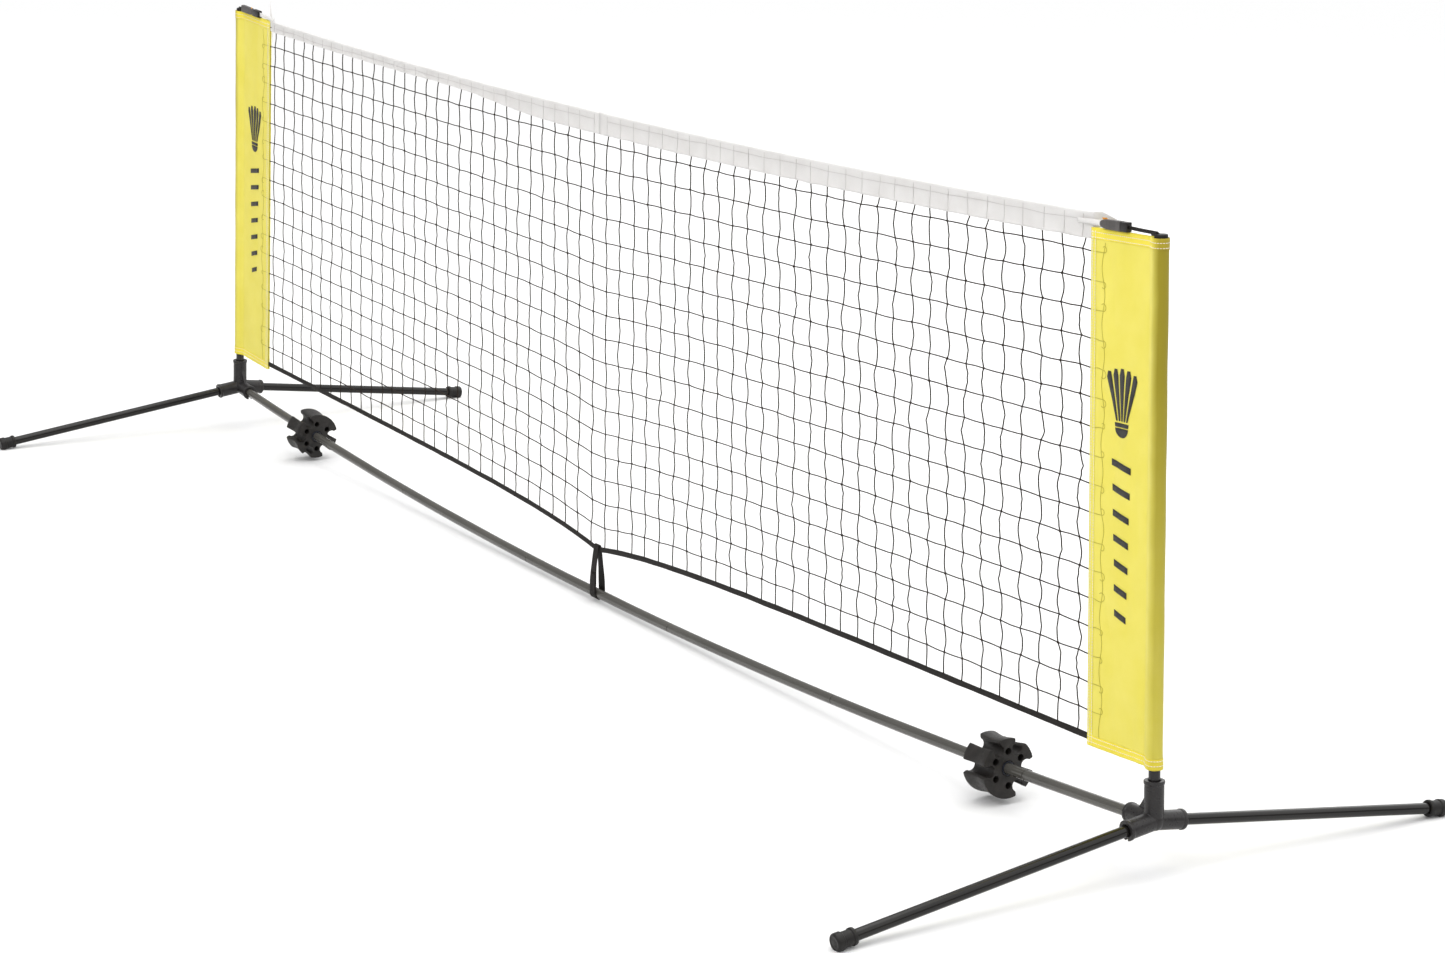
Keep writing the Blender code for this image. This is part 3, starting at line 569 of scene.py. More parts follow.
def twine_tree():
    """Lines become round strands; points marked as knots get a small tied lump."""
    group, start, end = node_group("knotted twine", {"Twine radius": 0.0007, "Knot size": 0.00125})
    link = group.links.new
    line = group.nodes.new("GeometryNodeMeshToCurve")
    ring = group.nodes.new("GeometryNodeCurvePrimitiveCircle")
    ring.inputs["Resolution"].default_value = 5
    strand = group.nodes.new("GeometryNodeCurveToMesh")
    strand.inputs["Fill Caps"].default_value = True
    mark = group.nodes.new("GeometryNodeInputNamedAttribute")
    mark.data_type = "FLOAT"
    mark.inputs["Name"].default_value = "knot"
    chosen = group.nodes.new("FunctionNodeCompare")
    chosen.data_type = "FLOAT"
    chosen.operation = "GREATER_THAN"
    chosen.inputs["B"].default_value = 0.5
    spots = group.nodes.new("GeometryNodeMeshToPoints")
    lump = group.nodes.new("GeometryNodeMeshIcoSphere")
    lump.inputs["Subdivisions"].default_value = 1
    turn = group.nodes.new("FunctionNodeRandomValue")
    turn.data_type = "FLOAT_VECTOR"
    turn.inputs["Max"].default_value = (pi, pi, pi)
    turn.inputs["Seed"].default_value = 11
    size = group.nodes.new("FunctionNodeRandomValue")
    size.data_type = "FLOAT"
    size.inputs[2].default_value = 0.75
    size.inputs[3].default_value = 1.2
    size.inputs["Seed"].default_value = 4
    grow = group.nodes.new("ShaderNodeMath")
    grow.operation = "MULTIPLY"
    ties = group.nodes.new("GeometryNodeInstanceOnPoints")
    join = group.nodes.new("GeometryNodeJoinGeometry")
    real = group.nodes.new("GeometryNodeRealizeInstances")
    paint = group.nodes.new("GeometryNodeSetMaterial")
    link(start.outputs["Geometry"], line.inputs["Mesh"])
    link(start.outputs["Twine radius"], ring.inputs["Radius"])
    link(line.outputs["Curve"], strand.inputs["Curve"])
    link(ring.outputs["Curve"], strand.inputs["Profile Curve"])
    link(mark.outputs["Attribute"], chosen.inputs["A"])
    link(start.outputs["Geometry"], spots.inputs["Mesh"])
    link(chosen.outputs["Result"], spots.inputs["Selection"])
    link(start.outputs["Knot size"], grow.inputs[0])
    link(size.outputs[1], grow.inputs[1])
    link(spots.outputs["Points"], ties.inputs["Points"])
    link(lump.outputs["Mesh"], ties.inputs["Instance"])
    link(turn.outputs["Value"], ties.inputs["Rotation"])
    link(grow.outputs["Value"], ties.inputs["Scale"])
    link(strand.outputs["Mesh"], join.inputs["Geometry"])
    link(ties.outputs["Instances"], join.inputs["Geometry"])
    link(join.outputs["Geometry"], real.inputs["Geometry"])
    link(real.outputs["Geometry"], paint.inputs["Geometry"])
    link(start.outputs["Material"], paint.inputs["Material"])
    link(paint.outputs["Geometry"], end.inputs["Geometry"])
    return group


def stitch_tree():
    """A row of short thread stitches along each line."""
    group, start, end = node_group(
        "stitch row", {"Pitch": 0.0040, "Stitch length": 0.0036, "Thread radius": 0.00045}
    )
    link = group.links.new
    line = group.nodes.new("GeometryNodeMeshToCurve")
    spread = group.nodes.new("GeometryNodeResampleCurve")
    spread.mode = "LENGTH"
    tangent = group.nodes.new("GeometryNodeInputTangent")
    aim = group.nodes.new("FunctionNodeAlignRotationToVector")
    aim.axis = "Z"
    thread = group.nodes.new("GeometryNodeMeshUVSphere")
    thread.inputs["Segments"].default_value = 6
    thread.inputs["Rings"].default_value = 5
    thread.inputs["Radius"].default_value = 1.0
    size = group.nodes.new("ShaderNodeCombineXYZ")
    half = group.nodes.new("ShaderNodeMath")
    half.operation = "MULTIPLY"
    half.inputs[1].default_value = 0.5
    rows = group.nodes.new("GeometryNodeInstanceOnPoints")
    real = group.nodes.new("GeometryNodeRealizeInstances")
    paint = group.nodes.new("GeometryNodeSetMaterial")
    link(start.outputs["Geometry"], line.inputs["Mesh"])
    link(line.outputs["Curve"], spread.inputs["Curve"])
    link(start.outputs["Pitch"], spread.inputs["Length"])
    link(tangent.outputs["Tangent"], aim.inputs["Vector"])
    link(start.outputs["Thread radius"], size.inputs["X"])
    link(start.outputs["Thread radius"], size.inputs["Y"])
    link(start.outputs["Stitch length"], half.inputs[0])
    link(half.outputs["Value"], size.inputs["Z"])
    link(spread.outputs["Curve"], rows.inputs["Points"])
    link(thread.outputs["Mesh"], rows.inputs["Instance"])
    link(aim.outputs["Rotation"], rows.inputs["Rotation"])
    link(size.outputs["Vector"], rows.inputs["Scale"])
    link(rows.outputs["Instances"], real.inputs["Geometry"])
    link(real.outputs["Geometry"], paint.inputs["Geometry"])
    link(start.outputs["Material"], paint.inputs["Material"])
    link(paint.outputs["Geometry"], end.inputs["Geometry"])
    return group


TREES = {"twine": twine_tree(), "stitch": stitch_tree()}


def grown(name, lines, tree, material, settings=None, knots=()):
    """Runs a node tree on open lines of points and keeps the result as a plain mesh."""
    verts, edges = [], []
    for line in lines:
        start = len(verts)
        verts += [tuple(p) for p in line]
        edges += [(start + k, start + k + 1) for k in range(len(line) - 1)]
    marks = [0.0] * len(verts) + [1.0] * len(knots)
    verts += [tuple(p) for p in knots]
    mesh = bpy.data.meshes.new(name)
    mesh.from_pydata(verts, edges, [])
    mesh.attributes.new("knot", "FLOAT", "POINT").data.foreach_set("value", marks)
    piece = bpy.data.objects.new(name, mesh)
    bpy.context.scene.collection.objects.link(piece)
    step = piece.modifiers.new(tree, "NODES")
    step.node_group = TREES[tree]
    sockets = {s.name: s.identifier for s in TREES[tree].interface.items_tree if s.in_out == "INPUT"}
    for label, value in (settings or {}).items():
        step[sockets[label]] = value
    step[sockets["Material"]] = LOOKS[material]
    apply_modifiers(piece)
    piece.data.shade_smooth()
    if not piece.data.uv_layers:
        piece.data.uv_layers.new(name="UVMap")
    return piece


# ------------------------------------------------------------------ crossbar


def bar_shape():
    """Height of the bowed crossbar's axis, from the ends of its sections."""
    low = end_centres("crossbar_section_4", Vector((1, 0, 0)), 0.004)[0]
    middle = end_centres("crossbar_section_1", Vector((1, 0, 0)), 0.004)[0]
    bow = (middle.z - low.z) / (middle.x ** 2 - low.x ** 2)
    return low.z - bow * low.x ** 2, bow


BAR_LOW, BAR_BOW = bar_shape()


def bar_height(x):
    return BAR_LOW + BAR_BOW * x * x


def make_crossbar():
    for k in range(1, 8):
        node = f"crossbar_section_{k}"
        first, last = end_centres(node, Vector((1, 0, 0)), 0.004)
        steps = 20
        line = []
        for j in range(steps + 1):
            x = first.x + (last.x - first.x) * j / steps
            line.append(Vector((x, 0, bar_height(x))))
        piece = tube(f"crossbar_tube_{k}", line, TUBE_R, TUBE_BORE, "bar", sides=36)
        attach(piece, "frame")
        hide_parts(node)
    for node, made in frame["nodes"].items():
        if "spigot" in node:
            made.data.materials[0] = LOOKS["tongue"]
        if "hub_bush" in node:
            made.data.materials[0] = LOOKS["bush"]
        if node.endswith("shock_cord"):
            made.data.materials[0] = LOOKS["webbing"]


# ------------------------------------------------------------------ connectors


def moulded_union(name, solid, extras, cuts, voxel, rounds):
    """Joins and cuts closed shapes, then melts the edges as a mould's radii do."""
    for tool, operation in [(e, "UNION") for e in extras] + [(c, "DIFFERENCE") for c in cuts]:
        step = solid.modifiers.new(operation, "BOOLEAN")
        step.operation = operation
        step.object = tool
        step.solver = "EXACT"
    apply_modifiers(solid)
    for tool in extras + cuts:
        bpy.data.objects.remove(tool)
    melt = solid.modifiers.new("voxels", "REMESH")
    melt.mode = "VOXEL"
    melt.voxel_size = voxel
    melt.use_smooth_shade = True
    ease = solid.modifiers.new("radii", "SMOOTH")
    ease.factor = 0.5
    ease.iterations = rounds
    apply_modifiers(solid)
    solid.name = name
    return solid


def make_connector(side, name):
    post = POSTS[name]
    centre = post.origin
    bar_in = Vector((-side, 0, -2 * BAR_BOW * abs(centre.x))).normalized()
    arms = [("post", post.up), ("front", joint_axis(f"{name}_front_leg_pull"))]
    arms += [("back", joint_axis(f"{name}_back_leg_pull")), ("bar", bar_in)]
    barrel, rim, bore, floor = 0.0135, 0.0145, TUBE_R + 0.00035, 0.012
    solids, cuts = [], []
    for label, axis in arms:
        _, length = reach_of(f"{name}_connector", centre, axis)
        if label == "bar":
            length -= 0.0006
        rim_depth = 0.0045
        profile = [(0, 0), (barrel, 0), (barrel, length - rim_depth - 0.001), (rim, length - rim_depth)]
        profile += [(rim, length - 0.0006), (rim - 0.0006, length), (0, length)]
        solids.append(turned(f"{name}_{label}_barrel", centre, axis, profile, None, 56))
        mouth = [
            (0, floor), (bore, floor), (bore, length - 0.0016), (bore + 0.0042, length + 0.004),
            (0, length + 0.004)
        ]
        cuts.append(turned(f"{name}_{label}_bore", centre, axis, mouth, None, 56))
        if label != "post":
            down = Vector((0, 0, -1))
            down = (down - down.dot(axis) * axis).normalized()
            wide = axis.cross(down)
            corners = []
            for a in (length - 0.012, length + 0.004):
                for b in (0.0, 0.03):
                    for c in (-0.0025, 0.0025):
                        corners.append(centre + a * axis + b * down + c * wide)
            faces = [(0, 1, 3, 2), (4, 5, 7, 6), (0, 1, 5, 4), (2, 3, 7, 6), (0, 2, 6, 4), (1, 3, 7, 5)]
            cuts.append(piece_from(f"{name}_{label}_slot", corners, faces, None, 0))
    round_side = [(rim * cos(a), rim * sin(a)) for a in spaced(-1.3, 1.3, 15)]
    knuckle = [(0, -rim)] + round_side + [(0, rim)]
    solids.append(turned(f"{name}_knuckle", centre, post.up, knuckle, None, 56))
    half_web, run, rise = 0.0022, 0.038, 0.040
    outline = [(0, 0), (run, 0), (0.010, rise), (0, rise)]
    corners = [post.at(a, y, b) for y in (-half_web, half_web) for a, b in outline]
    faces = [(0, 1, 2, 3), (4, 5, 6, 7)] + [(k, (k + 1) % 4, 4 + (k + 1) % 4, 4 + k) for k in range(4)]
    solids.append(piece_from(f"{name}_gusset", corners, faces, None, 0))
    melted = moulded_union(f"{name}_base_connector", solids[0], solids[1:], cuts, 0.00055, 2)
    melted.data.materials.clear()
    melted.data.materials.append(LOOKS["connector"])
    melted.data.shade_smooth()
    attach(melted, "frame")
    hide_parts(f"{name}_connector")


# ------------------------------------------------------------------ legs, feet and posts


def make_leg(name, way):
    axis = joint_axis(f"{name}_{way}_leg_pull")
    node = f"{name}_{way}_leg"
    first, last = end_centres(node, axis)
    line = [first + (last - first) * k / 12 for k in range(13)]
    leg = tube(f"{node}_tube", line, TUBE_R, TUBE_BORE, "leg", sides=36)
    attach(leg, node)
    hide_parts(node)
    cap_node = f"{name}_{way}_foot_cap"
    start, end = reach_of(cap_node, first, axis)
    length = end - start
    radius, bore = 0.0126, TUBE_R + 0.0003
    depth = 0.022
    profile = [(bore, 0.0004), (bore + 0.0007, 0), (radius - 0.0026, 0), (radius - 0.0010, 0.0008)]
    profile += [(radius - 0.0004, 0.0022), (radius - 0.0004, 0.0056), (radius - 0.0016, 0.0066)]
    profile += [(radius - 0.0018, 0.0100), (radius - 0.0016, length - 0.0125), (radius, length - 0.0112)]
    edge = 0.0034
    for a in spaced(0, pi / 2, 8)[:-1]:
        profile.append((radius - edge + edge * cos(a), length - 0.0006 - edge + edge * sin(a)))
    profile += [(radius - edge, length - 0.0006), (radius - edge - 0.0010, length - 0.0011)]
    profile += [(radius * 0.4, length - 0.0008), (0, length - 0.0006)]
    profile += [(0, depth + 0.0004), (bore, depth + 0.0004)]
    cap = turned(f"{name}_{way}_foot", first + start * axis, axis, profile, "cap", 44)
    for v in cap.data.vertices:
        v.co.z = max(v.co.z, 0.0)
    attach(cap, node)
    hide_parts(cap_node)


def make_post(name):
    post = POSTS[name]
    for part in ("lower", "upper"):
        node = f"{name}_post_{part}"
        first, last = end_centres(node, post.up)
        line = [first + (last - first) * k / 6 for k in range(7)]
        piece = tube(f"{node}_tube", line, TUBE_R, TUBE_BORE, "post", sides=36)
        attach(piece, f"{name}_post")
        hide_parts(node)
    node = f"{name}_post_cap"
    low = reach_of(node, post.origin, post.up)[0]
    head = reach_of(f"{name}_post_upper", post.origin, post.up)[1] + 0.0003
    top = head + 0.0065
    plug = TUBE_BORE - 0.0003
    profile = [
        (0, low), (plug, low), (plug, head), (0.0088, head), (0.009, head + 0.0004),
        (0.009, top - 0.0012)
    ]
    profile += [(0.0086, top - 0.0004), (0.0078, top), (0.003, top + 0.0004), (0, top + 0.0005)]
    cap = turned(f"{name}_post_plug", post.origin, post.up, profile, "cap", 40)
    lug = rounded_block(
        post, (0.002, 0.012), (-0.0075, -0.0005), (head + 0.0035, top + 0.0020), 0.0011, f"{name}_strap_lug"
    )
    step = cap.modifiers.new("lug", "BOOLEAN")
    step.operation = "UNION"
    step.object = lug
    step.solver = "EXACT"
    apply_modifiers(cap)
    bpy.data.objects.remove(lug)
    cap.data.materials.clear()
    cap.data.materials.append(LOOKS["cap"])
    cap.data.shade_smooth()
    cap.data.set_sharp_from_angle(angle=radians(38))
    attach(cap, f"{name}_post")
    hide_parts(node)


def rounded_block(post, inward, across, up, radius, name, material=None, segments=3):
    """Block in a post's own directions with all its edges rounded."""
    corners = [post.at(a, b, c) for c in up for b in across for a in inward]
    faces = [(0, 1, 3, 2), (4, 5, 7, 6), (0, 1, 5, 4), (2, 3, 7, 6), (0, 2, 6, 4), (1, 3, 7, 5)]
    block = piece_from(name, corners, faces, material, 0)
    step = block.modifiers.new("edges", "BEVEL")
    step.width = radius
    step.segments = segments
    apply_modifiers(block)
    outward(block.data)
    block.data.shade_smooth()
    block.data.set_sharp_from_angle(angle=radians(50))
    return block


# ------------------------------------------------------------------ storage hubs


def hub_outline():
    """Five flared notches on a six-place rim; rounded horns between them."""
    rim, centre, radius = 0.044, 0.0315, 0.0088
    mouth, flare = 0.0075, 0.0101
    lip = asin(mouth / radius)
    flare_angle = asin(flare / rim)
    points = []
    for k in range(5):
        turn = radians(60 * k)
        throat = centre + radius * cos(lip)
        local = []
        for t in spaced(0, 1, 5):
            a = rim * cos(flare_angle) - 0.0004 + (throat - rim * cos(flare_angle) + 0.0004) * t
            b = flare + (mouth - flare) * (1 - (1 - t) ** 2)
            local.append((a, -b))
        for j in range(1, 28):
            angle = -lip - (2 * pi - 2 * lip) * j / 28
            local.append((centre + radius * cos(angle), radius * sin(angle)))
        for t in spaced(1, 0, 5):
            a = rim * cos(flare_angle) - 0.0004 + (throat - rim * cos(flare_angle) + 0.0004) * t
            b = flare + (mouth - flare) * (1 - (1 - t) ** 2)
            local.append((a, b))
        for a, b in local:
            points.append((a * cos(turn) - b * sin(turn), a * sin(turn) + b * cos(turn)))
        gap = radians(60 if k < 4 else 120)
        steps = 10 if k < 4 else 24
        for j in range(steps + 1):
            lean = turn + flare_angle + 0.03 + (gap - 2 * flare_angle - 0.06) * j / steps
            points.append((rim * cos(lean), rim * sin(lean)))
    return points


def make_hub(side, name):
    axis = joint_axis(f"{name}_hub_turn")
    pivot = Vector(next(j for j in frame["joints"] if j["name"] == f"{name}_hub_turn")["pos_m"])
    turn = radians(-60) if side > 0 else radians(120)
    up = axis.cross(ACROSS)
    half = 0.025
    outline = hub_outline()
    count = len(outline)
    verts = []
    layers = 15
    for layer in range(layers):
        share = 2 * layer / (layers - 1) - 1
        dip = 0.0026 * max(0.0, cos(share * pi / 2 * 1.1)) ** 1.5
        for a, b in outline:
            size = sqrt(a * a + b * b)
            shrink = 1 - dip * clamped((size - 0.034) / 0.008) / size
            y, z = a * cos(turn) - b * sin(turn), a * sin(turn) + b * cos(turn)
            verts.append(pivot + share * half * axis + shrink * (y * ACROSS + z * up))
    faces = [tuple(range(count)), tuple(range((layers - 1) * count, layers * count))]
    for layer in range(layers - 1):
        base = layer * count
        for k in range(count):
            faces.append(
                (base + k, base + (k + 1) % count, base + count + (k + 1) % count, base + count + k)
            )
    hub = piece_from(f"{name}_hub", verts, faces, None, 0)
    bore = 0.01045
    past = half + 0.004
    cut = [
        (0, -past), (bore + 0.0052, -past), (bore, -half + 0.0012), (bore, half - 0.0012),
        (bore + 0.0052, past), (0, past)
    ]
    cuts = [turned(f"{name}_hub_bore", pivot, axis, cut, None, 48)]
    for k in range(6):
        angle = turn + radians(60 * k + 30)
        for way in (-1, 1):
            middle = pivot + 0.0250 * (cos(angle) * ACROSS + sin(angle) * up)
            hole = [(0, half - 0.018), (0.0050, half - 0.018), (0.0052, past), (0, past)]
            cuts.append(turned(f"{name}_pocket_{k}_{way}", middle, way * axis, hole, None, 20))
    for tool in cuts:
        step = hub.modifiers.new("cut", "BOOLEAN")
        step.operation = "DIFFERENCE"
        step.object = tool
        step.solver = "EXACT"
    apply_modifiers(hub)
    for tool in cuts:
        bpy.data.objects.remove(tool)
    step = hub.modifiers.new("mould edges", "BEVEL")
    step.width = 0.0009
    step.segments = 3
    step.limit_method = "ANGLE"
    step.angle_limit = radians(50)
    apply_modifiers(hub)
    hub.data.materials.clear()
    hub.data.materials.append(LOOKS["hub"])
    hub.data.shade_smooth()
    hub.data.set_sharp_from_angle(angle=radians(35))
    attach(hub, f"{name}_hub")
    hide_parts(f"{name}_storage_hub")


# ------------------------------------------------------------------ sleeves


class Sleeve:
    """Cloth loop round a post, drawn flat and sewn along its net edge."""

    def __init__(self, side, name):
        self.side, self.name, self.post = side, name, POSTS[name]
        node = f"{name}_sleeve"
        _, self.reach = reach_of(node, self.post.origin, self.post.inward)
        self.low, self.high = reach_of(node, self.post.origin, self.post.up)
        self.loop = 0.0101
        self.flat_from = 0.021
        self.half = 0.0011
        self.seed = 3.0 if side > 0 else 17.0
        self.profile = self.outline(150)

    def outline(self, count):
        """Cross-section from the front net edge round the post to the back net edge."""
        lean = asin((self.loop - self.half) / self.flat_from)
        dense = []
        steps = 24
        for k in range(steps + 1):
            dense.append((self.reach + (self.flat_from - self.reach) * k / steps, -self.half))
        for k in range(1, 9):
            t = k / 9
            touch = (self.loop * sin(lean), -self.loop * cos(lean))
            ease = t * t * (3 - 2 * t)
            a = self.flat_from + (touch[0] - self.flat_from) * t
            dense.append((a, -self.half + (touch[1] + self.half) * (0.45 * t + 0.55 * ease)))
        turn = 36
        for k in range(turn + 1):
            angle = pi / 2 - lean + (pi + 2 * lean) * k / turn
            dense.append((self.loop * cos(angle), -self.loop * sin(angle)))
        mirrored = [(a, -b) for a, b in reversed(dense[: steps + 9])]
        dense += mirrored
        lengths = [0.0]
        for (a, b), (c, d) in zip(dense, dense[1:]):
            lengths.append(lengths[-1] + sqrt((a - c) ** 2 + (b - d) ** 2))
        self.girth = lengths[-1]
        made = []
        for k in range(count + 1):
            want = self.girth * k / count
            j = int(np.searchsorted(lengths, want, side="right")) - 1
            j = min(max(j, 0), len(dense) - 2)
            t = (want - lengths[j]) / max(lengths[j + 1] - lengths[j], 1e-9)
            made.append(
                (dense[j][0] + (dense[j + 1][0] - dense[j][0]) * t,
                dense[j][1] + (dense[j + 1][1] - dense[j][1]) * t)
            )
        return made

    def ripple(self, inward, height, face):
        """Soft pull marks: shallow waves near both hems and along the seam, and slack cloth between."""
        share = (height - self.low) / (self.high - self.low)
        edges = exp(-share / 0.10) + exp(-(1 - share) / 0.08)
        middle = clamped((inward - 0.012) / 0.02) * clamped((self.reach - inward) / 0.02)
        spot = Vector((inward * 22, height * 9, self.seed + face * 4))
        wave = noise.noise(spot) * 0.0022 * middle
        pucker = noise.noise(Vector((inward * 90, height * 16, self.seed + 9 + face))) * 0.0007 * edges
        seam = exp(-(self.reach - inward) / 0.012) * noise.noise(
            Vector((height * 70, face * 3, self.seed))
        ) * 0.0004
        return wave + pucker + seam

    def side_noise(self, height):
        """Slight in-and-out wander of the post-side fold."""
        return 0.0010 * noise.noise(Vector((height * 14, self.seed, 2.0)))

    def spot(self, k, height, lift=0.0):
        """Point on the cloth at step k of the outline, raised by lift."""
        a, b = self.profile[k]
        before, after = self.profile[max(k - 1, 0)], self.profile[min(k + 1, len(self.profile) - 1)]
        da, db = after[0] - before[0], after[1] - before[1]
        size = sqrt(da * da + db * db)
        face = -1 if b < 0 else 1
        out = (db / size, -da / size)
        if out[1] * b < 0 or (abs(b) < 1e-6 and out[0] > 0):
            out = (-out[0], -out[1])
        move = lift + abs(self.ripple(a, height, face))
        if a < 0.012:
            move += self.side_noise(height) * clamped((0.012 - a) / 0.012) * 0.5 + 0.0004
        return self.post.at(a + out[0] * move, b + out[1] * move, height)

    def column(self, inward, face):
        """Nearest outline step to a distance from the post, on the front or back face."""
        best = [k for k in range(len(self.profile)) if (self.profile[k][1] < 0) == (face < 0)]
        return min(best, key=lambda k: abs(self.profile[k][0] - inward))

    def uv_row(self, height):
        """Texture places round the cloth's loop at one height."""
        last = len(self.profile) - 1
        return [(self.girth * k / last, height) for k in range(last + 1)]

    def surface(self, inward, height, face, lift):
        """Point on the front or back face at an exact distance from the post."""
        k = self.column(inward, face)
        base = self.spot(k, height, lift)
        return base + (inward - self.profile[k][0]) * self.post.inward


def make_sleeve(side, name):
    cloth = Sleeve(side, name)
    heights = list(spaced(cloth.low, cloth.high, 141))
    rows, uvs = [], []
    for height in heights:
        rows.append([cloth.spot(k, height) for k in range(len(cloth.profile))])
        uvs.append(cloth.uv_row(height))
    body = grid_sheet(f"{name}_sleeve_cloth", rows, "cloth", 0.0005, uvs)
    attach(body, f"{name}_post")
    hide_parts(f"{name}_sleeve")
    extras = []
    hem = 0.0150
    for label, start, end in (
        ("bottom", cloth.low - 0.0002, cloth.low + hem), ("top", cloth.high - hem, cloth.high + 0.0002)
    ):
        rows, uvs = [], []
        for height in spaced(start, end, 9):
            rows.append([cloth.spot(k, height, 0.00055) for k in range(len(cloth.profile))])
            uvs.append(cloth.uv_row(height))
        strip = grid_sheet(f"{name}_sleeve_{label}_hem", rows, "hem", 0.0005, uvs)
        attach(strip, f"{name}_post")
        extras.append(strip)
    for face, where in ((-1, "front"), (1, "back")):
        rows, uvs = [], []
        for height in spaced(cloth.low, cloth.high, 141):
            across = list(spaced(cloth.reach - 0.011, cloth.reach, 5))
            rows.append([cloth.surface(a, height, face, 0.0005) for a in across])
            uvs.append(
                [(cloth.reach - a if face < 0 else cloth.girth - cloth.reach + a, height)
                for a in across]
            )
        strip = grid_sheet(f"{name}_sleeve_{where}_seam_fold", rows, "cloth", 0.0004, uvs)
        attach(strip, f"{name}_post")
        extras.append(strip)
    lines = []
    near, far = 0.0058, 0.0125
    for height in (cloth.low + near, cloth.low + far, cloth.high - near, cloth.high - far):
        lines.append([cloth.spot(k, height, 0.0010) for k in range(1, len(cloth.profile) - 1)])
    for face in (-1, 1):
        for inset in (0.0035, 0.0095):
            line = [cloth.surface(cloth.reach - inset, h, face, 0.0009) for h in heights[1:-1]]
            lines.append(line)
    thread = grown(f"{name}_sleeve_stitches", lines, "stitch", "thread")
    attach(thread, f"{name}_post")
    extras.append(thread)
    extras += make_sleeve_strand_shade(cloth)
    extras += make_print(cloth)


def make_sleeve_strand_shade(cloth):
    """The net's sewn-in side cord and strand tails: faint ridges in the cloth, coloured in a painted shade
    where they block the light through it.
    """
    lines = []
    base = cloth.reach - 0.028
    for face in (-1, 1):
        wander = []
        steps = 150
        for k in range(steps + 1):
            height = cloth.low + 0.012 + (cloth.high - cloth.low - 0.030) * k / steps
            sway = 0.005 * sin(height * 2 * pi / 0.079) * (
                0.6 + 0.4 * noise.noise(Vector((height * 12, 5, cloth.seed)))
            )
            wander.append(cloth.surface(base + sway, height, face, 0.0003))
        lines.append(wander)
        outer = COLUMNS - 1 if cloth.side > 0 else 0
        for k in range(1, ROWS):
            knot = knot_place(outer, k) - cloth.post.origin
            height = (knot.z - cloth.reach * cloth.post.inward.z) / cloth.post.up.z
            curl = noise.noise(Vector((k * 1.7, 3.3, cloth.seed)))
            hook = 0.006 + 0.010 * abs(curl)
            turn = 1 if curl > 0 else -1
            tail = []
            for j in range(9):
                t = j / 8
                inward = cloth.reach - 0.0015 - 0.027 * t
                rise = height + 0.0022 * sin(t * 5 + k) * noise.noise(Vector((k * 0.9, 1.0, cloth.seed)))
                tail.append(cloth.surface(inward, rise, face, 0.0003))
            for j in range(1, 10):
                angle = pi * 1.25 * j / 9
                inward = cloth.reach - 0.0285 - hook * 0.55 * sin(angle)
                rise = height + turn * hook * 0.55 * (1 - cos(angle))
                tail.append(cloth.surface(inward, rise, face, 0.0003))
            lines.append(tail)
    marks = grown(f"{cloth.name}_sleeve_strand_ridges", lines, "twine", "under", {"Twine radius": 0.00055})
    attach(marks, f"{cloth.name}_post")
    return [marks]


def flat_patch(cloth, name, outline, face, lift=0.0008):
    """Printed shape from an outline of (distance from the post, height), laid on the cloth."""
    build = bmesh.new()
    corners = [build.verts.new((a, b, 0)) for a, b in outline]
    build.faces.new(corners)
    bmesh.ops.triangulate(build, faces=build.faces[:])
    for _ in range(2):
        long = [e for e in build.edges if e.calc_length() > 0.006]
        if long:
            bmesh.ops.subdivide_edges(build, edges=long, cuts=1)
            bmesh.ops.triangulate(build, faces=[f for f in build.faces if len(f.verts) > 3])
    layer = build.loops.layers.uv.new("UVMap")
    for f in build.faces:
        for loop in f.loops:
            loop[layer].uv = (loop.vert.co.x, loop.vert.co.y)
    for v in build.verts:
        v.co = cloth.surface(v.co.x, v.co.y, face, lift)
    mesh = bpy.data.meshes.new(name)
    build.to_mesh(mesh)
    build.free()
    return mesh


def shuttle_shapes(centre, middle):
    """A plain shuttlecock: round cork below, and feather blades fanning out above it."""
    shapes = []
    cork = []
    for k in range(25):
        angle = pi + pi * k / 24
        cork.append((centre + 0.0135 * cos(angle), middle - 0.034 + 0.0125 * sin(angle)))
    shapes.append(cork)
    collar = ((-0.0135, -0.0325), (0.0135, -0.0325), (0.0145, -0.027), (-0.0145, -0.027))
    shapes.append([(centre + a, middle + b) for a, b in collar])
    blades = 5
    for k in range(blades):
        lean = (k - (blades - 1) / 2) / ((blades - 1) / 2)
        foot, tip = centre + 0.0105 * lean, centre + 0.0265 * lean
        half_foot, half_tip = 0.0016, 0.0052
        rise = 0.046 - 0.006 * lean * lean
        blade = [(foot - half_foot, middle - 0.0245), (foot + half_foot, middle - 0.0245)]
        blade += [(tip + half_tip, middle + rise * 0.80), (tip + half_tip * 0.55, middle + rise)]
        blade += [(tip - half_tip * 0.55, middle + rise), (tip - half_tip, middle + rise * 0.80)]
        shapes.append(blade)
    return shapes


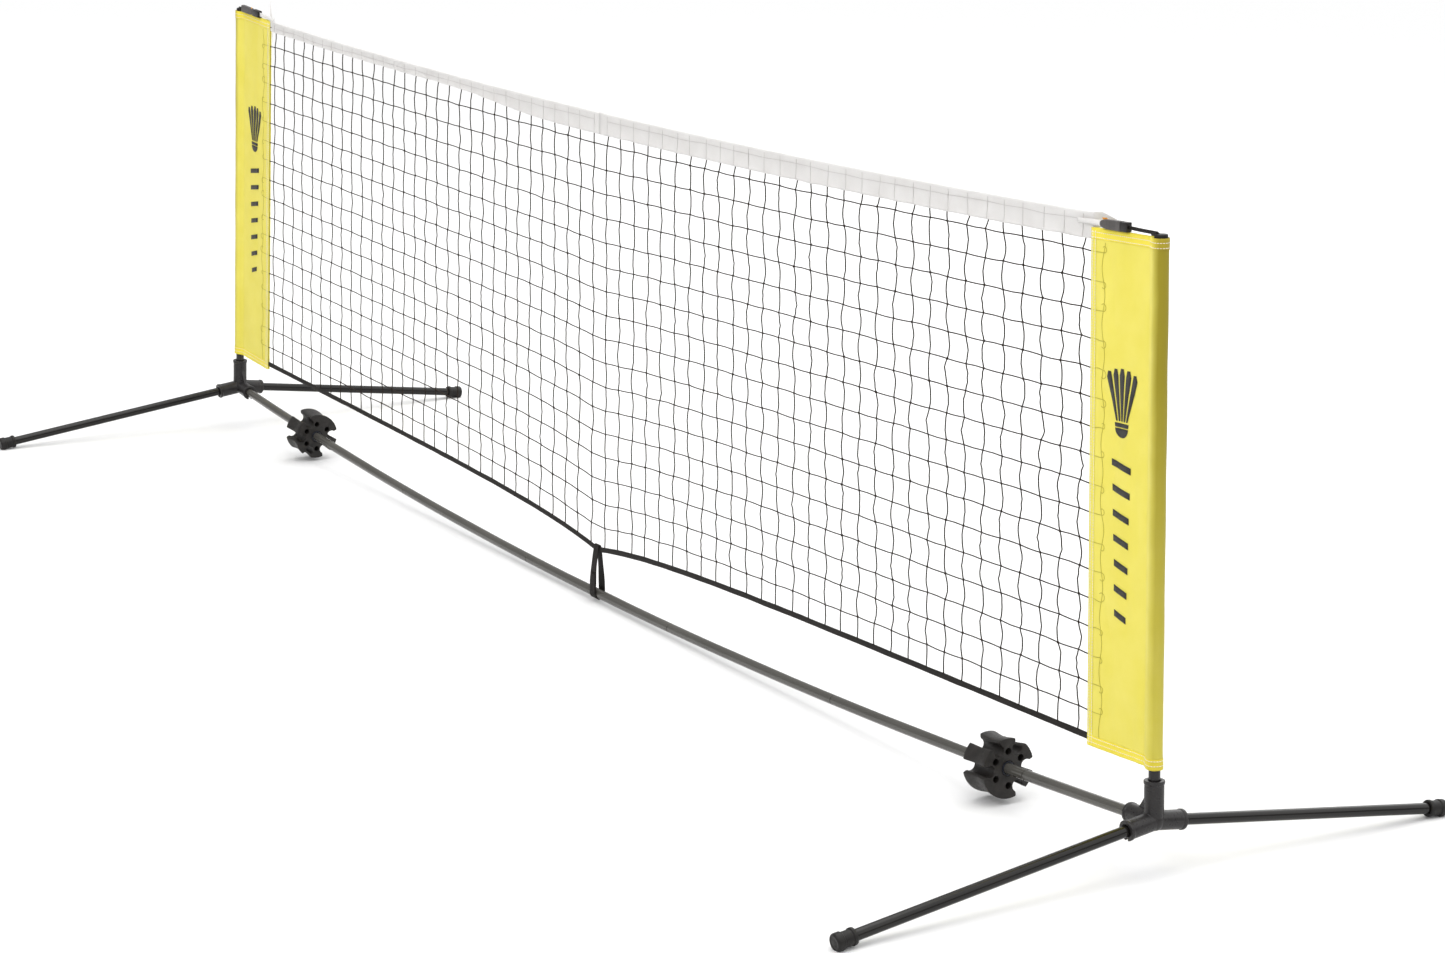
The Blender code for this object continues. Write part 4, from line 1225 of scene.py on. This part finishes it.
def make_print(cloth):
    """Plain decoration: a shuttlecock above a ladder of slanted bars."""
    made = []
    centre = 0.074
    top = cloth.low + (cloth.high - cloth.low) * 0.68
    shapes = shuttle_shapes(centre, top)
    bars = 7
    for k in range(bars):
        middle = top - 0.085 - 0.034 * k
        width = 0.020 - 0.0014 * k
        shapes.append([
            (centre - width, middle - 0.0085),
            (centre + width, middle - 0.0005),
            (centre + width, middle + 0.0085),
            (centre - width, middle + 0.0005),
        ])
    for face, where in ((-1, "front"), (1, "back")):
        build = bmesh.new()
        for k, outline in enumerate(shapes):
            part = flat_patch(cloth, f"part_{k}", outline, face)
            build.from_mesh(part)
            bpy.data.meshes.remove(part)
        mesh = bpy.data.meshes.new(f"{cloth.name}_sleeve_{where}_print")
        build.to_mesh(mesh)
        build.free()
        piece = finish_mesh(mesh.name, mesh, "print", 60)
        step = piece.modifiers.new("ink", "SOLIDIFY")
        step.thickness = 0.00012
        step.offset = 0
        apply_modifiers(piece)
        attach(piece, f"{cloth.name}_post")
        made.append(piece)
    return made


# ------------------------------------------------------------------ net


def curve_reader(node, pick, together=0.004):
    """Smooth upper or lower edge height of a CAD sheet at any X, read from its corners."""
    groups = []
    for p in sorted(points_of(node), key=lambda q: q.x):
        if groups and p.x - groups[-1][0].x < together:
            groups[-1].append(p)
        else:
            groups.append([p])
    edge = [pick(group, key=lambda q: q.z) for group in groups]
    xs = [p.x for p in edge]
    zs = [p.z for p in edge]
    slopes = [(zs[min(k + 1, len(zs) - 1)] - zs[max(k - 1, 0)]) for k in range(len(zs))]
    slopes = [rise / (xs[min(k + 1, len(xs) - 1)] - xs[max(k - 1, 0)]) for k, rise in enumerate(slopes)]

    def height(x):
        k = min(max(int(np.searchsorted(xs, x)) - 1, 0), len(xs) - 2)
        wide = xs[k + 1] - xs[k]
        t = (x - xs[k]) / wide
        if t < 0 or t > 1:
            near = k if t < 0 else k + 1
            return zs[near] + slopes[near] * (x - xs[near])
        start = (1 + 2 * t) * (1 - t) ** 2 * zs[k] + t * (1 - t) ** 2 * wide * slopes[k]
        return start + t * t * (3 - 2 * t) * zs[k + 1] + t * t * (t - 1) * wide * slopes[k + 1]

    return height


BAND_TOP = curve_reader("headband_tape", max)
BAND_LOW = curve_reader("headband_tape", min)
HEM_LOW = curve_reader("bottom_tape", min)
HEM_HEIGHT = 0.010


def hem_line(x):
    return HEM_LOW(x) + HEM_HEIGHT / 2


def net_half(height, side):
    """Half the net's free width at a height, up to the sleeve's edge."""
    post = POSTS["right" if side > 0 else "left"]
    _, reach = reach_of(f"{post.name}_sleeve", post.origin, post.inward)
    edge = post.origin + reach * post.inward
    slope = post.up.x / post.up.z
    return abs(edge.x + (height - edge.z) * slope)


EDGES = {side: (net_half(0.0, side), net_half(1.0, side)) for side, _ in SIDES}


def net_edge(height, side):
    low, high = EDGES[side]
    return low + (high - low) * height


COLUMNS = 60
ROW_STEP = 0.0396
FIRST_ROW = 0.012
ROWS = 18


def knot_place(column, row):
    """Where one knot of the net sits."""
    u = (column - (COLUMNS - 1) / 2) / (COLUMNS / 2)
    side = 1 if u > 0 else -1
    guess = 0.5
    x = u * net_edge(guess, side)
    top, low = BAND_TOP(x), hem_line(x)
    share = (FIRST_ROW + ROW_STEP * row) / 0.723
    height = top - share * (top - low)
    x = u * net_edge(height, side)
    drift = noise.noise(Vector((column * 0.63, row * 0.41, 1.5)))
    jitter = noise.noise(Vector((column * 3.7, row * 3.1, 7.7)))
    x += 0.0028 * drift + 0.0022 * jitter
    if row == 0:
        x += 0.0048 + 0.0050 * jitter
    height += 0.0016 * noise.noise(Vector((column * 0.9, row * 2.7, 4.2))) * (1 if row else 0)
    y = 0.0012 * noise.noise(Vector((column * 1.3, row * 1.9, 9.1)))
    return Vector((x, y, height))


def strand_between(start, end, seed, bow, steps=6):
    """Slack twine between two knots, bowed to one side, with a small kink at each end."""
    made = []
    across = Vector((end.z - start.z, 0, start.x - end.x)).normalized()
    size = bow * (0.65 + 0.9 * abs(noise.noise(Vector((seed * 1.37, 0.3, 2.0)))))
    lean = 1 if noise.noise(Vector((seed * 2.11, 1.3, 5.0))) > 0 else -1
    skew = 0.22 * noise.noise(Vector((seed * 3.3, 8.0, 1.0)))
    for k in range(1, steps):
        t = k / steps
        swell = sin(pi * clamped(t + skew * sin(pi * t)))
        ripple = 0.7 * noise.noise(Vector((seed, t * 5.0, 3.3)))
        made.append(start.lerp(end, t) + across * size * lean * (swell + ripple * swell))
    return made


def make_net(side, name):
    """Half of the knotted net, from the middle to the sleeve."""
    chosen = [c for c in range(COLUMNS) if (c >= COLUMNS // 2) == (side > 0)]
    knots = {(c, r): knot_place(c, r) for c in chosen for r in range(ROWS)}
    lines = []
    for c in chosen:
        line = []
        top = knots[(c, 0)]
        line.append(Vector((top.x, 0, BAND_TOP(top.x) - 0.0035)))
        for r in range(ROWS):
            here = knots[(c, r)]
            if r:
                before = knots[(c, r - 1)]
                bow = 0.0030 + 0.0016 * max(0.0, before.x)
                line += strand_between(before, here, c * 31.7 + r * 7.3, bow)
            line.append(here)
        last = knots[(c, ROWS - 1)]
        low = Vector((last.x + 0.001 * noise.noise(Vector((c * 1.1, 0, 0))), 0, hem_line(last.x)))
        line += strand_between(last, low, c * 5.1 + 900, 0.0015, 4)
        line.append(low)
        lines.append(line)
    for r in range(ROWS):
        order = chosen if side > 0 else list(reversed(chosen))
        middle = (knot_place(COLUMNS // 2 - 1, r) + knot_place(COLUMNS // 2, r)) / 2
        line = [middle]
        for n, c in enumerate(order):
            here = knots[(c, r)]
            if n:
                line += strand_between(knots[(order[n - 1], r)], here, c * 13.9 + r * 3.7 + 500, 0.0006, 4)
            line.append(here)
        last = line[-1]
        inset = 0.016 if r else 0.002
        line.append(Vector((side * (net_edge(last.z, side) + inset), 0, last.z - 0.001)))
        lines.append(line)
    piece = grown(
        f"net_mesh_{name}", lines, "twine", "twine", {"Twine radius": 0.00102, "Knot size": 0.0019},
        list(knots.values())
    )
    settle(piece)
    return piece


def settle(piece):
    """Bakes the piece's placement into its mesh."""
    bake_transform(piece)


def band_wave(x):
    """How far the headband strays to the front or back of the net's plane."""
    slow = 0.0012 * noise.noise(Vector((x * 9, 2.0, 1.0)))
    return slow + 0.0006 * noise.noise(Vector((x * 40, 5.0, 1.0)))


def make_headband(side, name):
    """White tape folded over the headline, open below, uneven and slightly puckered."""
    rows, uvs = [], []
    outline_steps = 9
    edge = net_edge(BAND_TOP(side * 1.3), side)
    post = POSTS[name]
    cloth_top = reach_of(f"{name}_sleeve", post.origin, post.up)[1]
    for along_bar in spaced(0, abs(edge) - 0.008, 135) + spaced(abs(edge) - 0.004, abs(edge) + 0.040, 23):
        x = side * along_bar
        top, low = BAND_TOP(x), BAND_LOW(x)
        inside = abs(x) - edge
        flat = 1 - 0.86 * clamped((inside + 0.022) / 0.018)
        ceiling = post.at((abs(post.origin.x) - abs(x)) / abs(post.inward.x), 0, cloth_top).z + 0.0016
        low += (ceiling - low) * clamped((inside - 0.001) / 0.003)
        top -= 0.22 * max(0.0, inside - 0.010)
        behind = 0.0095 * clamped((inside - 0.004) / 0.005)
        wave = band_wave(x)
        lip = 0.0009 * noise.noise(Vector((x * 26, 1.0, 8.0)))
        section, along = [], []
        height = top - low
        for j in range(outline_steps + 1):
            t = j / outline_steps
            z = low + lip + (height - 0.0026) * t
            bulge = 0.0005 * sin(pi * t) * noise.noise(Vector((x * 14, t * 2, 3.0)))
            section.append(((-0.0024 - bulge) * flat, z))
            along.append(height * t)
        for j in range(1, 6):
            angle = pi * j / 6
            section.append((-0.0024 * cos(angle) * flat, top - 0.0026 + 0.0024 * sin(angle)))
            along.append(height + 0.0075 * j / 6)
        for j in range(outline_steps, -1, -1):
            t = j / outline_steps
            z = low - lip * 0.5 + 0.0008 + (height - 0.0026) * t
            bulge = 0.0005 * sin(pi * t) * noise.noise(Vector((x * 14, t * 2, 6.0)))
            section.append(((0.0024 + bulge) * flat, z))
            along.append(2 * height + 0.0075 - height * t)
        rows.append([Vector((x, y + behind + wave * flat, z)) for y, z in section])
        uvs.append([(a, x) for a in along])
    piece = grid_sheet(f"headband_{name}", rows, "band", 0.00035, uvs)
    settle(piece)
    return piece


def band_face(x, drop, face, lift=0.0):
    top = BAND_TOP(x)
    wave = band_wave(x)
    return Vector((x, face * (0.0027 + lift) + wave, top - drop))


def make_band_strand_shadows(side, name):
    """Painted shadows of the net's top row and strands inside the white tape, as thin lines on both its
    faces.
    """
    lines = []
    chosen = [c for c in range(COLUMNS) if (c >= COLUMNS // 2) == (side > 0)]
    for face in (-1, 1):
        row = []
        for c in sorted(chosen, key=abs):
            spot = knot_place(c, 0)
            limit = BAND_TOP(spot.x) - BAND_LOW(spot.x) - 0.002
            drop = min(BAND_TOP(spot.x) - spot.z + 0.004 * noise.noise(Vector((c * 1.9, 3, 3))), limit)
            row.append(band_face(spot.x, max(drop, 0.004), face, 0.0001))
            line = []
            for j in range(7):
                t = j / 6
                bow = 0.0022 * sin(pi * t * 1.3 + c) * noise.noise(Vector((c * 2.3, 1, 4)))
                line.append(
                    band_face(spot.x + bow + 0.003 * (t - 0.5) * noise.noise(Vector((c * 1.1, 9, 9))),
                    0.004 + (limit - 0.004) * t, face, 0.0001)
                )
            lines.append(line)
        fine = []
        for a, b in zip(row, row[1:]):
            for j in range(4):
                x = a.x + (b.x - a.x) * j / 4
                fine.append(band_face(x, BAND_TOP(x) - (a.z + (b.z - a.z) * j / 4), face, 0.0001))
        fine.append(row[-1])
        lines.append(fine)
    # A short painted shadow line down each face of the tape by the sleeve.
    seam = side * (net_edge(BAND_TOP(side * 1.3), side) + 0.003)
    for face in (-1, 1):
        lines.append([band_face(seam, 0.002 + 0.0025 * j, face, -0.0021) for j in range(6)])
    piece = grown(f"headband_strand_marks_{name}", lines, "twine", "shadow", {"Twine radius": 0.0004})
    settle(piece)
    return piece


def make_headline(side, name):
    steps = 80
    line = []
    for k in range(steps + 1):
        x = side * (net_edge(BAND_TOP(side * 1.3), side) - 0.020) * k / steps
        line.append(Vector((x, 0, BAND_TOP(x) - 0.0038)))
    piece = grown(f"headline_{name}", [line], "twine", "webbing", {"Twine radius": 0.0011})
    settle(piece)
    return piece


def make_bottom_tape(side, name):
    """Black webbing folded over the net's lower selvedge."""
    steps, count = 110, 20
    end = net_edge(hem_line(side * 1.35), side) - 0.0006
    rows, uvs = [], []
    for k in range(steps + 1):
        share = (k / steps) ** 1.25
        x = side * end * share
        middle = hem_line(x) + 0.0005 * noise.noise(Vector((x * 22, 1, 1)))
        half = HEM_HEIGHT / 2 - 0.0002 + 0.0004 * noise.noise(Vector((x * 17, 6, 1)))
        sway = 0.0007 * noise.noise(Vector((x * 12, 3, 3)))
        section = []
        for j in range(count):
            angle = 2 * pi * j / count
            section.append((0.0013 * cos(angle), half * squared_off(sin(angle), 0.8)))
        section.append(section[0])
        rows.append([Vector((x, sway + y, middle + z)) for y, z in section])
        uvs.append([(0.022 * j / count, x) for j in range(count + 1)])
    verts = [p for row in rows for p in row[:-1]]
    faces = ring_faces(steps + 1, count)
    faces.append(tuple(range(count)))
    faces.append(tuple(range(steps * count, (steps + 1) * count)))
    flat = [uv for row in uvs for uv in row[:-1]]
    piece = piece_from(f"bottom_webbing_{name}", verts, faces, "webbing", 60, flat)
    settle(piece)
    return piece


def make_soft_net():
    net, marks, lines, tapes = [], [], [], []
    for side, name in SIDES:
        net.append(make_net(side, name))
        tapes.append(make_headband(side, name))
        marks.append(make_band_strand_shadows(side, name))
        lines.append(make_headline(side, name))
        low = make_bottom_tape(side, name)
        if side > 0:
            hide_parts("bottom_tape")
    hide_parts("net_panel")
    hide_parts("headband_tape")
    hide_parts("headline_cord")
    for tape, mark in zip(tapes, marks):
        lo, hi = Vector(tape.bound_box[0]), Vector(tape.bound_box[6])
        width = sum(2 * (BAND_TOP(x) - BAND_LOW(x)) + 0.007 for x in spaced(lo.x, hi.x, 40)) / 40


# ------------------------------------------------------------------ centre strap


def make_centre_strap():
    """Webbing passed over the bottom tape and round the crossbar, its end lapped on itself."""
    low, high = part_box("centre_strap")
    width = high.x - low.x
    top = high.z - 0.0028
    bar = bar_height(0)
    big, small = TUBE_R + 0.0009, 0.0022
    path = []
    for k in range(15):
        angle = pi * k / 14
        path.append((small * cos(angle), top + small * sin(angle) - 0.001))
    for k in range(1, 12):
        t = k / 12
        bow = 0.0022 * sin(pi * t)
        path.append((-small - (big - small) * t - bow, top - 0.001 + (bar - top + 0.001) * t))
    for k in range(25):
        angle = pi + pi * k / 24
        path.append((big * cos(angle), bar + big * sin(angle)))
    for k in range(1, 12):
        t = k / 12
        bow = 0.0012 * sin(pi * t)
        path.append((big + (small - big) * t + bow, bar + (top - 0.001 - bar) * t))
    rows, uvs = [], []
    across = spaced(-width / 2, width / 2, 9)
    run = 0.0
    closed = path + [path[0]]
    for k, (y, z) in enumerate(closed):
        if k:
            run += sqrt((y - closed[k - 1][0]) ** 2 + (z - closed[k - 1][1]) ** 2)
        share = clamped((z - bar - 0.012) / max(top - bar - 0.012, 1e-6))
        pinch = 1.0 - 0.30 * share
        rows.append([Vector((x * pinch, y + 0.0006 * sin(9 * share) * (x / width), z)) for x in across])
        uvs.append([(x, run) for x in across])
    strap = grid_sheet("centre_strap_webbing", rows, "webbing", 0.0013, uvs)
    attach(strap, "frame")
    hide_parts("centre_strap")
    lap = []
    lap_uv = []
    for k in range(11):
        t = k / 10
        y = -small - (big - small) * (0.98 - 0.42 * t) - 0.0022 * sin(pi * (0.98 - 0.42 * t)) - 0.0016
        z = top - 0.001 + (bar - top + 0.001) * (0.98 - 0.42 * t)
        lap.append([Vector((x * 0.82 + 0.0016, y, z)) for x in across])
        lap_uv.append([(x, 0.4 + t * 0.05) for x in across])
    tab = grid_sheet("centre_strap_lap", lap, "webbing", 0.0012, lap_uv)
    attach(tab, "frame")


# ------------------------------------------------------------------ headline clips


def make_clip(side, name):
    post = POSTS[name]
    low_in, high_in = reach_of(f"{name}_clip_body", post.origin, post.inward)
    low_up, high_up = reach_of(f"{name}_clip_body", post.origin, post.up)
    low_y, high_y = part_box(f"{name}_clip_body")[0].y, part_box(f"{name}_clip_body")[1].y
    middle, half = (low_up + high_up) / 2, (high_up - low_up) / 2
    depth = (high_y - low_y) / 2
    centre_y = (low_y + high_y) / 2
    steps, count = 26, 28
    rows = []
    for k in range(steps + 1):
        t = k / steps
        inward = low_in + (high_in - low_in) * t
        nose = 0.018 / (high_in - low_in)
        round_off = sqrt(max(0.0, 1 - max(0.0, (t - (1 - nose)) / nose) ** 2))
        grip = 1 - 0.05 * (0.5 + 0.5 * cos(2 * pi * t * 9)) * (1 if 0.15 < t < 0.6 else 0)
        a = half * max(round_off, 0.12) * (0.97 + 0.03 * cos(pi * t))
        b = depth * max(sqrt(round_off), 0.25) * grip
        row = []
        for j in range(count):
            angle = 2 * pi * j / count
            y = b * squared_off(cos(angle), 0.45)
            z = a * squared_off(sin(angle), 0.45)
            row.append(post.at(inward, centre_y + y, middle + z))
        rows.append(row)
    verts = [p for row in rows for p in row]
    faces = ring_faces(steps + 1, count)
    faces += [tuple(range(count)), tuple(range(steps * count, (steps + 1) * count))]
    body = piece_from(f"{name}_clip_shell", verts, faces, "clip", 40)
    held, loose = (f"{name}_post", f"{name}_clip") if side > 0 else (f"{name}_clip", f"{name}_post")
    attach(body, loose)
    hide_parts(f"{name}_clip_body")
    tongue = f"{name}_clip_tongue"
    low_t, high_t = reach_of(tongue, post.origin, post.inward)
    shown = (low_t, min(high_t, low_in) - 0.0002) if side > 0 else (max(low_t, high_in) + 0.0002, high_t)
    stem = rounded_block(
        post,
        shown,
        (centre_y - 0.0046, centre_y + 0.0046),
        (middle - half + 0.0006, middle + half - 0.0004),
        0.0009,
        f"{name}_clip_stem",
        "tongue",
    )
    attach(stem, held)
    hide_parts(tongue)
    strap_high = reach_of(f"{name}_clip_strap", post.origin, post.inward)[1]
    rows, uvs = [], []
    for k in range(15):
        t = k / 14
        inward = 0.001 + (strap_high - 0.001) * t
        sag = 0.0016 * (1 - t) ** 2
        for_height = middle - sag - 0.0006 * sin(pi * t)
        heights = (-0.0024, -0.0008, 0.0008, 0.0024)
        rows.append([post.at(inward, centre_y - 0.0008, for_height + z) for z in heights])
        uvs.append([(z, inward) for z in (0, 0.0016, 0.0032, 0.0048)])
    strap = grid_sheet(f"{name}_strap", rows, "webbing", 0.0014, uvs)
    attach(strap, f"{name}_post")
    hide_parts(f"{name}_clip_strap")
    tail_low, tail_high = reach_of(f"{name}_headline_tail", post.origin, post.inward)
    rows, uvs = [], []
    for k in range(19):
        t = k / 18
        inward = tail_low - 0.002 + (tail_high - tail_low + 0.002) * t
        half_width = 0.0038 - 0.0006 * t
        twist = 0.0004 * sin(6 * t)
        across = ((0, -half_width), (0.0001, 0), (0, half_width))
        rows.append([post.at(inward, centre_y + twist + y, middle + z) for y, z in across])
        uvs.append([(z, inward) for z in (0, 0.004, 0.008)])
    tail = grid_sheet(f"{name}_headline_end", rows, "band", 0.0009, uvs)
    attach(tail, f"{name}_clip")
    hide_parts(f"{name}_headline_tail")
    lines = []
    nose_in = high_in - 0.008
    for k in range(6):
        inward, turn = nose_in - 0.001 * k, 0.0006 * k
        under = post.at(inward, centre_y - 0.0015 + turn, middle + half - 0.0012)
        over = post.at(inward + 0.0012, centre_y - 0.003 + turn, middle + half + 0.0012)
        lines.append([under, over])
    wrap = grown(f"{name}_clip_tie", lines, "twine", "orange", {"Twine radius": 0.0005})
    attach(wrap, loose)


# ------------------------------------------------------------------ stage


def make_stage():
    bpy.ops.mesh.primitive_plane_add(size=60, location=(0, 0, -0.0005))
    floor = bpy.context.object
    floor.name = "studio_floor"
    paper = Look("pale floor", (0.76, 0.76, 0.76), 0.95)
    floor.data.materials.append(paper.material)
    world = bpy.data.worlds.new("studio")
    bpy.context.scene.world = world
    world.use_nodes = True
    tree = world.node_tree
    seen = tree.nodes["Background"]
    seen.inputs["Color"].default_value = (1, 1, 1, 1)
    seen.inputs["Strength"].default_value = 1.0
    fill = tree.nodes.new("ShaderNodeBackground")
    fill.inputs["Color"].default_value = (1, 1, 1, 1)
    fill.inputs["Strength"].default_value = 0.50
    path = tree.nodes.new("ShaderNodeLightPath")
    pick = tree.nodes.new("ShaderNodeMixShader")
    tree.links.new(path.outputs["Is Camera Ray"], pick.inputs[0])
    tree.links.new(fill.outputs[0], pick.inputs[1])
    tree.links.new(seen.outputs[0], pick.inputs[2])
    tree.links.new(pick.outputs[0], tree.nodes["World Output"].inputs["Surface"])

    def lamp(name, place, target, size, power):
        light = bpy.data.lights.new(name, "AREA")
        light.shape = "RECTANGLE"
        light.size, light.size_y = size
        light.energy = power
        made = bpy.data.objects.new(name, light)
        bpy.context.scene.collection.objects.link(made)
        made.location = place
        made.rotation_mode = "QUATERNION"
        made.rotation_quaternion = (Vector(target) - Vector(place)).to_track_quat("-Z", "Y")

    lamp("key", (2.0, -4.5, 4.2), (0.2, 0, 0.4), (2.6, 1.6), 110)
    lamp("top", (0.0, 0.3, 4.5), (0, 0, 0), (5.0, 2.5), 55)
    lamp("back", (-2.5, 4.5, 2.6), (0, 0, 0.3), (4.0, 2.5), 60)
    sky = bpy.data.lights.new("even sky", "SUN")
    sky.energy = 2.6
    sky.angle = radians(110)
    even = bpy.data.objects.new("even sky", sky)
    bpy.context.scene.collection.objects.link(even)
    even.rotation_euler = (radians(-12), radians(10), 0)
    scene = bpy.context.scene
    scene.view_settings.view_transform = "Standard"
    scene.view_settings.look = "None"


def make_camera():
    yaw, pitch, roll = 1.01487, 0.245655, 0.016104
    place = Vector((4.77099, -2.71694, 1.59699))
    forward = Vector((-sin(yaw) * cos(pitch), cos(yaw) * cos(pitch), -sin(pitch)))
    right = Vector((cos(yaw), sin(yaw), 0))
    down = forward.cross(right)
    turned_right = cos(roll) * right - sin(roll) * down
    turned_down = sin(roll) * right + cos(roll) * down
    basis = Matrix((turned_right, -turned_down, -forward)).transposed()
    data = bpy.data.cameras.new("camera")
    data.sensor_width = 36
    data.lens = 83.37
    data.clip_end = 100
    made = bpy.data.objects.new("camera", data)
    bpy.context.scene.collection.objects.link(made)
    made.matrix_world = Matrix.Translation(place) @ basis.to_4x4()
    bpy.context.scene.camera = made


make_camera()
make_stage()
make_crossbar()
for side, name in SIDES:
    make_connector(side, name)
    make_post(name)
    make_hub(side, name)
    for _, way in WAYS:
        make_leg(name, way)
    make_sleeve(side, name)
    make_clip(side, name)
make_soft_net()
make_centre_strap()
